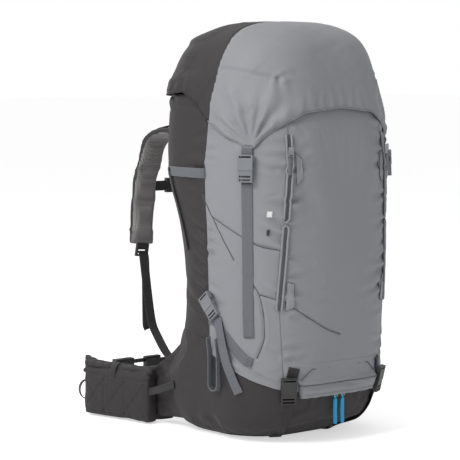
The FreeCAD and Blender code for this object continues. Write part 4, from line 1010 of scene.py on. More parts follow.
class BACKPACK_OT_bag(bpy.types.Operator):
    """Makes the cloth of the bag: front, sides, back and base, blown out and gathered at its seams"""
    bl_idname = "backpack.bag"
    bl_label = "Bag cloth"

    def execute(self, context):
        sizes = context.scene.pack_sizes
        bag = Bag()
        BACKPACK_OT_bag.skin = bag
        top = bag.top - 0.002

        def zip_line(side, turns=0.0):
            return lambda z: bag.turn_at_x(side * zip_x(z), z) + turns * CIRCLE

        def split_line(side):
            return lambda z: bag.turn_at_y(SPLIT_Y, z, side)

        def cloth_panel(name, side_a, side_b, material, nodes, cell, pressure, slack, limit, seams=(),
                        out=0.0, drop=0.0, seed=1, folds=(), hem_out=0.0):
            grid = panel(bag, side_a, side_b, top, cell, drop)
            shape = grid.shape[:2]
            away = outward_of(grid)
            uv = cloth_length(grid)
            edge = edge_weights(shape, cell, 0.045)
            held = edge_weights(shape, cell, cell * 1.5)
            wave = ripple(uv[..., 0] * 0.35, uv[..., 1], 0.030, seed) * 0.0012 * edge * (1 - held)
            grid = grid + away * (wave[..., None] + out)
            mesh = grid_mesh(name, grid, uv)
            settle(mesh, held.reshape(-1), pressure * sizes.fullness, slack * sizes.pucker, limit,
                   loose=(0.35 + 0.65 * edge).reshape(-1))
            points = refine(read(mesh).reshape(*shape, 3))
            bpy.data.meshes.remove(mesh)
            away = outward_of(points)
            sunk = sewn_lines(points, seams) + creases(points, folds)
            edge = edge_weights(points.shape[:2], cell / 2, 0.055)
            uv = cloth_length(points)
            gathers = gather_waves(uv, seed) * edge * (1 - edge_weights(points.shape[:2], cell / 2, 0.008))
            rise = uv[..., 1] - uv[..., 1].min()
            sunk = sunk - hem_out * np.exp(-(rise / 0.020) ** 2)
            points = points - away * (sunk + gathers * GATHER_DEPTH * sizes.pucker)[..., None]
            mesh = grid_mesh(name, points, uv)
            face_like(mesh, away)
            piece = add_piece(name, mesh, material, "pack", nodes)
            thicken(piece, sizes.cloth_thick)

        grey, dark = finish("grey_cloth"), finish("dark_cloth")
        front_folds = [((-0.118, -0.152, z), (-0.118 + length, -0.168, z + rise), 0.008, 0.0036)
                       for z, length, rise in ((0.300, 0.060, -0.006), (0.335, 0.045, -0.010),
                                               (0.272, 0.085, -0.012), (0.225, 0.050, 0.002),
                                               (0.385, 0.040, -0.006), (0.430, 0.050, 0.004),
                                               (0.480, 0.055, 0.010))]
        front_folds += mirror_folds(front_folds)
        cloth_panel("front_cloth", zip_line(-1), zip_line(1), grey, ("front_panel",), cell=0.0042,
                    pressure=1.6, slack=0.045, limit=0.007, seams=FRONT_SEAMS, drop=0.004, seed=4,
                    folds=front_folds, hem_out=0.0020)
        for name, side in SIDES:
            seams = [mirrored(line, side) if side > 0 else line for line in SIDE_SEAMS]
            folds = [((-0.172, 0.004, 0.478), (-0.158, -0.080, 0.530), 0.010, 0.0030),
                     ((-0.172, 0.002, 0.500), (-0.160, -0.070, 0.500), 0.009, 0.0022),
                     ((-0.170, -0.012, 0.240), (-0.150, -0.100, 0.250), 0.010, 0.0028),
                     ((-0.132, -0.140, 0.480), (-0.160, -0.085, 0.500), 0.008, 0.0022),
                     ((-0.130, -0.142, 0.440), (-0.158, -0.090, 0.430), 0.007, 0.0018),
                     ((-0.130, -0.142, 0.395), (-0.160, -0.085, 0.405), 0.008, 0.0018),
                     ((-0.172, 0.002, 0.330), (-0.166, -0.060, 0.345), 0.010, 0.0020)]
            folds = mirror_folds(folds) if side > 0 else folds
            lines = (split_line(-1), zip_line(-1, 1)) if side < 0 else (zip_line(1), split_line(1))
            cloth_panel("side_cloth_" + name, *lines, grey, ("side_panels",) if side < 0 else (),
                        cell=0.0042, pressure=1.2, slack=0.050, limit=0.006, seams=seams, drop=0.006,
                        out=0.0005, seed=7 + side, folds=folds, hem_out=0.0034)
        folds = [((-0.172, 0.012, 0.478), (-0.150, 0.110, 0.500), 0.012, 0.0035),
                 ((-0.172, 0.012, 0.474), (-0.150, 0.120, 0.440), 0.012, 0.0030),
                 ((-0.150, 0.120, 0.476), (-0.170, 0.030, 0.510), 0.010, 0.0030),
                 ((-0.170, 0.014, 0.230), (-0.150, 0.110, 0.290), 0.012, 0.0035)]
        folds += mirror_folds(folds)
        cloth_panel("rear_cloth", split_line(1), split_line(-1), dark, ("rear_gussets", "back_panel"),
                    cell=0.0050, pressure=0.9, slack=0.040, limit=0.006, seed=21, folds=folds)
        self.base(context, bag, dark)
        BACKPACK_OT_bag.skin = Bag(tree_of_meshes([piece.data for piece in bpy.data.objects
                                                   if piece.name in BAG_CLOTH]), 360, 0.004)
        return {"FINISHED"}

    def base(self, context, bag, dark):
        """The dark base: a tub from just above the hem down to the ground, closed underneath."""
        sizes = context.scene.pack_sizes
        columns, rows, floor_rows = 216, 34, 14
        turn = np.linspace(0, CIRCLE, columns, endpoint=False)
        high = np.full(columns, 0.15)
        for _ in range(10):
            high = hem_height(bag.at(turn, high)[:, 1]) + 0.006
        share = np.linspace(0, 1, rows)[:, None]
        z = lerp(0.0016, high[None], share ** 0.9)
        wall = bag.at(np.broadcast_to(turn[None], z.shape), z, -0.0006)
        inner = np.linspace(0.03, 1, floor_rows, endpoint=False)[:, None, None]
        centre = wall[0].mean(0)
        floor = centre + (wall[0][None] - centre) * inner
        floor[..., 2] = GROUND
        grid = np.concatenate([floor, wall])
        shape = grid.shape[:2]
        uv = cloth_length(grid)
        held = np.zeros(shape)
        held[:floor_rows + 1] = 1
        held[-2:] = 1
        mesh = grid_mesh("base_cloth", grid, uv, close=True)
        wave = ripple(turn[None] * 0.10, z, 0.05, 31) * 0.0018
        settle(mesh, held.reshape(-1), 0.8 * sizes.fullness, 0.035 * sizes.pucker, 0.004)
        points = read(mesh).reshape(*shape, 3)
        away = unit(points - np.array([0, MIDDLE_Y, 0])) * [1, 1, 0]
        sunk = np.zeros(shape)
        sunk[floor_rows:] = wave * np.sin(math.pi * share)
        path = [(-0.166, 0.046, 0.186), (-0.160, 0.100, 0.110), (-0.146, 0.130, 0.040),
                (-0.138, 0.136, 0.006)]
        seam = [bag_line(bag, mirrored(path, side)) for _, side in SIDES]
        points = points - away * (sunk + sewn_lines(points, seam))[..., None]
        points[:floor_rows, :, 2] = GROUND
        write(mesh, points)
        fill_rings(mesh, (0,), columns, lambda faces: sum(
            face.normal.z for face in faces if face.calc_center_median().z < 0.002) > 0)
        shade_smooth(mesh)
        piece = add_piece("base_cloth", mesh, dark, "pack", ("base_panel",))
        thicken(piece, sizes.cloth_thick, levels=1)


def face_like(mesh, away):
    """Turns a grid mesh's faces the way its outward directions look."""
    if np.sum(read(mesh, "normal") * away.reshape(-1, 3)) <= 0:
        mesh.flip_normals()


# --- the lid --------------------------------------------------------------------------------

def lid_hem(y_or_x, front):
    """Height of the lid's hem: an arch over the front, pointed sides, level at the back."""
    if front:
        marks = ((0, 0.588), (0.080, 0.580), (0.118, 0.560), (0.140, 0.545), (0.160, 0.522))
    else:
        marks = ((-0.110, 0.520), (-0.100, 0.521), (-0.080, 0.530), (-0.040, 0.550), (0, 0.568),
                 (0.023, 0.590), (0.067, 0.615), (0.127, 0.609), (0.170, 0.606))
    return np.interp(y_or_x, *zip(*marks))


class BACKPACK_OT_lid(bpy.types.Operator):
    """Makes the floating lid, gathered at the two strap points, with its hem, piping, seam and floor"""
    bl_idname = "backpack.lid"
    bl_label = "Lid"

    def execute(self, context):
        sizes = context.scene.pack_sizes
        cap = Cap()
        BACKPACK_OT_lid.skin = cap
        columns, rows = 224, 54
        turn = np.linspace(0, CIRCLE, columns, endpoint=False) + 0.0001
        low = np.zeros(columns)
        for _ in range(16):
            spot = cap.at(turn, low)
            front = lid_hem(np.abs(spot[:, 0]), True)
            side = lid_hem(spot[:, 1], False)
            near = smooth((spot[:, 1] + 0.118) / 0.012)
            low = cap.tilt_at(turn, lerp(front, side, near))
        share = np.linspace(0, 1, rows)[:, None]
        tilt = lerp(low[None], math.radians(88.6), share)
        turn_grid = np.broadcast_to(turn[None], tilt.shape)
        grid = cap.at(turn_grid, tilt)
        shape = grid.shape[:2]
        mesh = grid_mesh("lid_form", grid, np.stack([turn_grid, tilt], -1) * 0.17, close=True)
        held = np.zeros(shape)
        held[:2] = 1
        held[-1] = 1
        loose = np.zeros(shape) + 0.3
        tips = [np.array([side * 0.160, -0.104, 0.524]) for _, side in SIDES]
        for tip in tips:
            loose = np.maximum(loose, np.exp(-(np.linalg.norm(grid - tip, axis=-1) / 0.07) ** 2))
        settle(mesh, held.reshape(-1), 1.0 * sizes.fullness, 0.05 * sizes.pucker, 0.006,
               loose=loose.reshape(-1))
        points = refine(read(mesh).reshape(*shape, 3), close=True)
        bpy.data.meshes.remove(mesh)
        away = outward_of(points)
        spread = np.linspace(0, 1, points.shape[1], endpoint=False)
        turn_fine = np.broadcast_to((spread * CIRCLE)[None], points.shape[:2])
        sunk = np.zeros(points.shape[:2])
        for tip, (_, side) in zip(tips, SIDES):
            run = points - tip
            far = np.linalg.norm(run, axis=-1)
            level = np.hypot(run[..., 0], run[..., 1]) * np.where(run[..., 1] > 0, 1, -1)
            bearing = np.arctan2(run[..., 2], level)
            bearing = bearing + 0.9 * run[..., 0] * side
            wave = np.sin(bearing * 15 + 1.5 * ripple(run[..., 1], run[..., 2], 0.11, 5))
            fade = np.exp(-((far - 0.045) / 0.055) ** 2) * smooth(far / 0.03)
            sunk += 0.0038 * wave * fade * sizes.pucker
        hem_way = np.linalg.norm(points - points[:1], axis=-1)
        short = np.sin(turn_fine * 46 + 2.0 * ripple(turn_fine * 0.17, hem_way, 0.08, 9))
        sunk += 0.0011 * short * np.exp(-(hem_way / 0.028) ** 2) * smooth(hem_way / 0.006) * sizes.pucker
        rear = smooth((points[..., 1] - 0.02) / 0.04)
        droop = ripple(points[..., 1] * 0.5 - points[..., 2] * 0.6, points[..., 2], 0.075, 12, 4)
        sunk += 0.0034 * rear * np.clip(droop * 1.6, -1, 1) * smooth(hem_way / 0.02)
        sunk += 0.0009 * ripple(points[..., 0], points[..., 1] + points[..., 2], 0.06, 14)
        colour_seam = np.abs(points[..., 1] - split_of_lid(points))
        sunk += 0.0018 * np.exp(-(colour_seam / 0.0032) ** 2)
        for _, side in SIDES:
            line = self.on_lid(cap, [(side * 0.158, -0.030, 0.655), (side * 0.150, -0.080, 0.650),
                                     (side * 0.118, -0.128, 0.640)])
            sunk += sewn_lines(points, [line])
            end = line[-1]
            sunk += creases(points, [(end, end + np.array([side * -0.030, -0.010, 0.008]), 0.007, 0.003),
                                     (end, end + np.array([side * -0.004, -0.004, -0.040]), 0.009, 0.004),
                                     (end, end + np.array([side * -0.020, -0.008, -0.020]), 0.007, 0.002)])
        points = points - away * sunk[..., None]
        mesh = grid_mesh("lid_cloth", points, uv_of_closed(points), close=True)
        rows, columns = points.shape[:2]
        fill_rings(mesh, ((rows - 1) * columns,), columns,
                   lambda faces: sum(face.normal.z for face in faces) < 0)
        shade_smooth(mesh)
        mesh.materials.append(finish("grey_cloth"))
        mesh.materials.append(finish("dark_cloth"))
        for face in mesh.polygons:
            spot = np.array(face.center)
            face.material_index = int(spot[1] > split_of_lid(spot))
        piece = add_piece("lid_cloth", mesh, None, "lid", ("lid_front", "lid_back"), "grey_fabric")
        thicken(piece, sizes.lid_thick)
        ring = points[0] + unit(away[0]) * 0.0002
        ring = np.roll(ring, -int(np.argmin(np.abs(ring[:, 1] + 0.008) + (ring[:, 0] > 0))), axis=0)
        back = ring[:, 1] > -0.008
        change = next(i for i in range(8, len(ring)) if back[i] != back[6])
        for part in (ring[:change + 1], np.vstack([ring[change:], ring[:1]])):
            dark = part[len(part) // 2, 1] > -0.008
            add_piece("lid_hem_" + ("rear" if dark else "front"), tube_mesh("lid_hem", part[::2], 0.0016, 6),
                      finish("thread_dark" if dark else "thread_grey"), "lid")
        self.floor(cap, sizes)
        return {"FINISHED"}

    def on_lid(self, cap, points, out=0.0):
        """A smooth line on the lid's skin through points near it."""
        line = spline(points, 30)
        way = line - np.array(cap.centre)
        turn = np.arctan2(way[:, 1], way[:, 0])
        tilt = np.arctan2(way[:, 2], np.hypot(way[:, 0], way[:, 1]))
        return cap.at(turn, tilt, out)

    def floor(self, cap, sizes):
        """The lid's floor and the zipped pocket edge under it, sagging with what it holds."""
        low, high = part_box("lid_floor")
        level = (low.z + high.z) / 2
        turn = np.linspace(0, CIRCLE, 120, endpoint=False)
        grid, share = disc(cap.at(turn, cap.tilt_at(turn, level), -0.004), level, 16)
        grid[..., 2] = level - 0.006 * np.cos(share * math.pi / 2)
        grid[..., 2] += 0.002 * ripple(grid[..., 0], grid[..., 1], 0.07, 17)
        piece = add_piece("lid_floor_cloth", disc_mesh("lid_floor_cloth", grid), finish("dark_cloth"), "lid",
                          ("lid_floor",))
        thicken(piece, sizes.cloth_thick)


def disc(rim, level, rows):
    """Rings of points from near the middle out to a rim, and each ring's share of the way."""
    share = np.linspace(0.02, 1, rows)[:, None, None]
    centre = np.array([0, 0.0, level])
    return centre + (rim[None] - centre) * share, share[..., 0]


def disc_mesh(name, grid):
    """A sheet of rings with its middle closed."""
    mesh = grid_mesh(name, grid, cloth_length(grid), close=True)
    fill_rings(mesh, (0,), grid.shape[1])
    shade_smooth(mesh)
    return mesh


def split_of_lid(points):
    """Depth at which the lid's grey cloth meets the dark, which lies further back towards the top."""
    points = np.asarray(points)
    heights, depths = (0.52, 0.60, 0.66, 0.70, 0.737), (-0.008, -0.012, -0.020, -0.026, -0.024)
    return np.interp(points[..., 2], heights, depths)


def uv_of_closed(points):
    """Places on the flat cloth for a closed ring of rows."""
    around = np.linalg.norm(np.diff(points[:1], axis=1), axis=-1)[0].mean()
    up = np.concatenate([[0], np.cumsum(np.linalg.norm(np.diff(points, axis=0), axis=-1).mean(1))])
    return np.stack(np.broadcast_arrays(np.arange(points.shape[1])[None] * around, up[:, None]), -1)


# --- what repeats: stitches and zip teeth ----------------------------------------------------

def row_tree():
    """Geometry Nodes: short rounded bars set along lines at even steps, such as stitches or teeth."""
    found = bpy.data.node_groups.get("Row of bars")
    if found:
        return found
    tree = bpy.data.node_groups.new("Row of bars", "GeometryNodeTree")
    face = tree.interface
    face.new_socket("Geometry", in_out="INPUT", socket_type="NodeSocketGeometry")
    for name, value in (("Step", 0.0036), ("Length", 0.0024), ("Radius", 0.0004), ("Turn", 0.0)):
        face.new_socket(name, in_out="INPUT", socket_type="NodeSocketFloat").default_value = value
    face.new_socket("Material", in_out="INPUT", socket_type="NodeSocketMaterial")
    face.new_socket("Geometry", in_out="OUTPUT", socket_type="NodeSocketGeometry")
    given, result = tree.nodes.new("NodeGroupInput"), tree.nodes.new("NodeGroupOutput")
    curve = tree.nodes.new("GeometryNodeMeshToCurve")
    points = add_node(tree, "GeometryNodeCurveToPoints", mode="LENGTH")
    bar = add_node(tree, "GeometryNodeMeshCylinder")
    bar.inputs["Vertices"].default_value = 6
    place = tree.nodes.new("GeometryNodeInstanceOnPoints")
    lean = add_node(tree, "FunctionNodeAlignRotationToVector", axis="Z")
    spin = tree.nodes.new("FunctionNodeRotateRotation")
    spin.rotation_space = "LOCAL"
    turn = tree.nodes.new("ShaderNodeCombineXYZ")
    real = tree.nodes.new("GeometryNodeRealizeInstances")
    paint = tree.nodes.new("GeometryNodeSetMaterial")
    for source, output, target, socket in (
            (given, "Geometry", curve, 0), (curve, 0, points, "Curve"), (given, "Step", points, "Length"),
            (given, "Length", bar, "Depth"), (given, "Radius", bar, "Radius"),
            (points, "Points", place, "Points"), (bar, "Mesh", place, "Instance"),
            (points, "Tangent", lean, "Vector"), (given, "Turn", turn, "Y"), (lean, 0, spin, 0),
            (turn, 0, spin, 1), (spin, 0, place, "Rotation"), (place, 0, real, 0), (real, 0, paint, 0),
            (given, "Material", paint, "Material"), (paint, 0, result, 0)):
        tree.links.new(source.outputs[output], target.inputs[socket])
    return tree


def row_of_bars(name, lines, step, length, radius, material, body, slot, turn=0.0):
    """One plain mesh of bars along lines, riding a body."""
    points, edges = [], []
    for line in lines:
        base = len(points)
        points += [tuple(point) for point in line]
        edges += [(base + i, base + i + 1) for i in range(len(line) - 1)]
    mesh = bpy.data.meshes.new(name + "_lines")
    mesh.from_pydata(points, edges, [])
    piece = bpy.data.objects.new(name, mesh)
    bpy.context.scene.collection.objects.link(piece)
    rows = piece.modifiers.new("Row", "NODES")
    rows.node_group = row_tree()
    values = {"Step": step, "Length": length, "Radius": radius, "Turn": turn, "Material": material}
    for item in rows.node_group.interface.items_tree:
        if item.in_out == "INPUT" and item.name in values:
            rows[item.identifier] = values[item.name]
    made = made_by_modifiers(piece)
    bpy.data.meshes.remove(mesh)
    return add_piece(name, made, material, body, slot=slot)


# --- straps ---------------------------------------------------------------------------------

def find_strap(bag, node, side, marks, upright=True):
    """The middle line of a CAD strap on the skin: where rays at each height or turn meet it."""
    tree = tree_of((node,))
    line = []
    span = np.radians(np.arange(-90, 90.1, 0.5))
    span = span if side > 0 else math.pi - span
    levels = np.arange(0.004, 0.60, 0.002)
    for mark in marks:
        turns, heights = np.broadcast_arrays(*((span, mark) if upright else (mark, levels)))
        skin = bag.at(turns, heights)
        met = [spot for spot, turn in zip(skin, turns)
               if tree.ray_cast(Vector(spot) + level_way(turn) * 0.03, -level_way(turn), 0.036)[0]]
        if met:
            line.append((met[len(met) // 2] + met[(len(met) - 1) // 2]) / 2)
    return np.array(line)


def away_from_middle(line):
    """Level directions away from the pack's upright middle line."""
    way = np.asarray(line, float) - np.array([0, MIDDLE_Y, 0])
    way[:, 2] = 0
    return unit(way)


def skin_strap(name, bag, points, width, material, out, nodes, count, taper=0.0):
    """A strap lying on the bag through points near its skin."""
    line = bag_line(bag, points, count, out)
    thick = bpy.context.scene.pack_sizes.webbing_thick
    mesh = strap_mesh(name, line, away_from_middle(line), width, thick, taper)
    add_piece(name, mesh, material, "pack", nodes)


def middle_line(node, side, axis, count=26, sign=1):
    """The middle line of a CAD ribbon, from slices along one axis."""
    points = node_points(node, side)
    points = points[np.argsort(points[:, axis] * sign)]
    marks = np.linspace(points[0, axis], points[-1, axis], count)
    half = abs(marks[1] - marks[0]) * 0.75
    line = np.array([points[np.abs(points[:, axis] - mark) < half].mean(0) for mark in marks
                     if np.any(np.abs(points[:, axis] - mark) < half)])
    if len(line) > 8:
        way = np.linspace(-1, 1, len(line))
        line = np.stack([np.polyval(np.polyfit(way, line[:, k], 4), way) for k in range(3)], -1)
    return line


def tacks(line, width, normal, ends=(0, -1), rows=3):
    """Short lines across a strap's ends, where it is sewn down."""
    line = np.asarray(line)
    along = unit(np.gradient(line, axis=0))
    lines = []
    for end in ends:
        across = np.cross(along[end], normal[end])
        inward = along[end] if end == 0 else -along[end]
        for row in range(rows):
            middle = line[end] + inward * (0.004 + 0.004 * row) + normal[end] * 0.0011
            lines.append([middle + across * width * share for share in np.linspace(-0.40, 0.40, 8)])
    return lines


class BACKPACK_OT_straps(bpy.types.Operator):
    """Makes the flat straps of the bag, their sewn ends, the axe loops and the haul loop"""
    bl_idname = "backpack.straps"
    bl_label = "Straps"

    def execute(self, context):
        sizes = context.scene.pack_sizes
        bag = BACKPACK_OT_bag.skin
        grey, black = finish("grey_webbing"), finish("black_webbing")
        thread = finish("thread_grey")
        sewn = []

        def lay(name, node, side, marks, width, ends, upright=False, extend=0.0):
            line = find_strap(bag, node, side, marks, upright)
            line = spline(line[:: max(1, len(line) // 9)], 80)
            line = np.vstack([line[:1] + unit(line[0] - line[2]) * extend, line])
            line = bag.at(bag.turn_of(line[:, 0], line[:, 1]), line[:, 2], 0.0016)
            normal = away_from_middle(line)
            mesh = strap_mesh(name, line, normal, width, sizes.webbing_thick)
            add_piece(name, mesh, grey, "pack", (node,) if side < 0 else ())
            sewn.extend(tacks(line, width, normal, ends))

        for name, side in SIDES:
            first = side < 0
            lay("front_strap_" + name, "front_straps", side, np.linspace(0.186, 0.480, 60),
                sizes.front_webbing, (0,), upright=True)
            turns = math.pi + np.linspace(0.04, -0.75, 40) if first else np.linspace(-0.04, 0.75, 40)
            lay("upper_side_strap_" + name, "upper_side_straps", side, turns, sizes.side_webbing, (0,),
                extend=0.012)
            turns = math.pi + np.linspace(-0.2, 0.85, 60) if first else np.linspace(0.2, -0.85, 60)
            lay("lower_side_strap_" + name, "lower_side_straps", side, turns, sizes.side_webbing, (-1,))
            self.base_strap(bag, name, side, sizes, black, first)
            self.tails(bag, name, side, sizes, grey, black)
            self.axe_loop(bag, name, side, grey, first)
            anchor = [(-0.105, 0.150, 0.520), (-0.104, 0.156, 0.565), (-0.103, 0.157, 0.604)]
            skin_strap("lid_anchor_" + name, bag, mirrored(anchor, side), 0.018, black, 0.0016,
                       ("lid_anchor_straps",) if first else (), 24)
        row_of_bars("strap_tacks", sewn, 0.0016, 0.0015, 0.00035, thread, "pack", "grey_webbing", ACROSS)
        self.haul_loop(black)
        return {"FINISHED"}

    def base_strap(self, bag, name, side, sizes, black, first):
        """The strap that runs from the base buckle down and under the base."""
        upper = mirrored([(-0.104, -0.158, 0.140), (-0.106, -0.152, 0.118)], side)
        skin_strap("base_strap_top_" + name, bag, upper, sizes.front_webbing, black, 0.0022,
                   ("base_straps",) if first else (), 12)
        walk = [bag.at(bag.turn_of(side * 0.108, y), z, out)
                for y, z, out in (
                    (-0.148, 0.080, 0.0026), (-0.140, 0.054, 0.0026), (-0.126, 0.028, 0.0026),
                    (-0.114, 0.012, 0.0022), (-0.104, 0.0022, -0.004), (-0.092, 0.0009, -0.022),
                    (-0.070, 0.0009, -0.045))]
        line = spline(walk, 60)
        line[:, 2] = np.maximum(line[:, 2], 0.0009)
        normal = away_from_middle(line)
        low = smooth((0.03 - line[:, 2:3]) / 0.03)
        normal = unit(normal * (1 - low) + np.array([0, 0, -1.0]) * low)
        mesh = strap_mesh("base_strap_" + name, line, normal, sizes.front_webbing, sizes.webbing_thick)
        add_piece("base_strap_" + name, mesh, black, "pack")

    def tails(self, bag, name, side, sizes, grey, black):
        """The loose ends of the side straps."""
        tail = mirrored([(-0.171, -0.030, 0.222), (-0.176, -0.042, 0.195), (-0.177, -0.058, 0.150),
                         (-0.170, -0.070, 0.115), (-0.163, -0.078, 0.092)], side)
        line = spline(tail, 60)
        normal = away_from_middle(line)
        mesh = strap_mesh("lower_side_tail_" + name, line, normal, sizes.side_webbing, sizes.webbing_thick)
        add_piece("lower_side_tail_" + name, mesh, grey, "side_clip_" + name)
        rear = mirrored([(-0.150, 0.092, 0.478), (-0.158, 0.080, 0.430), (-0.163, 0.064, 0.380),
                         (-0.166, 0.050, 0.334)], side)
        skin_strap("upper_side_tail_" + name, bag, rear, 0.013, black, 0.0030, (), 40, taper=0.25)

    def axe_loop(self, bag, name, side, grey, first):
        """A folded webbing loop that hangs from below the side strap."""
        x = abs(bag.at(math.pi, 0.14)[0]) + 0.006
        middle, half = -0.026, 0.0115
        down = [(-x, middle + half, z) for z in np.linspace(0.186, 0.110, 12)]
        bend = [(-x, middle + half * math.cos(t), 0.103 - half * math.sin(t))
                for t in np.linspace(0, math.pi, 16)]
        up = [(-x, middle - half, z) for z in np.linspace(0.110, 0.186, 12)]
        line = resample(mirrored(down + bend + up, side), 70)
        line[:, 0] += side * 0.004 * smooth((line[:, 2] - 0.15) / 0.04)
        normal = np.cross(unit(np.gradient(line, axis=0)), [1.0, 0, 0])
        mesh = strap_mesh("axe_loop_" + name, line, normal, 0.010, 0.0018)
        add_piece("axe_loop_" + name, mesh, grey, "pack", ("ice_axe_loops",) if first else ())

    def haul_loop(self, black):
        """The grab loop behind the collar."""
        line = spline(middle_line("haul_loop", 0, 0, 30)[::3], 70)
        mesh = strap_mesh("haul_loop_webbing", line, [0, 0.25, 1.0] + 0 * line, 0.020, 0.0030)
        add_piece("haul_loop_webbing", mesh, black, "pack", ("haul_loop",))


# --- zips -----------------------------------------------------------------------------------

def skin_patch(name, bag, outline, out, thick, material, slot):
    """A flat patch of cloth on the front of the skin, from (x, z) corners."""
    corners = [bag.at(bag.turn_at_x(x, z), z, out) for x, z in outline]
    work = bmesh.new()
    face = work.faces.new([work.verts.new(corner) for corner in corners])
    face.normal_update()
    if face.normal.y > 0:
        bmesh.ops.reverse_faces(work, faces=[face])
    bmesh.ops.triangulate(work, faces=work.faces)
    bmesh.ops.subdivide_edges(work, edges=work.edges, cuts=2, use_grid_fill=True)
    for vertex in work.verts:
        turn = bag.turn_of(vertex.co.x, vertex.co.y)
        vertex.co = bag.at(turn, vertex.co.z, out)
    layer = work.loops.layers.uv.new("cloth")
    for face in work.faces:
        for loop in face.loops:
            loop[layer].uv = (loop.vert.co.x, loop.vert.co.z)
    mesh = bpy.data.meshes.new(name)
    work.to_mesh(mesh)
    work.free()
    piece = add_piece(name, mesh, material, "pack", slot=slot)
    thicken(piece, thick, offset=1)
    soften_edges(piece, thick * 0.4)


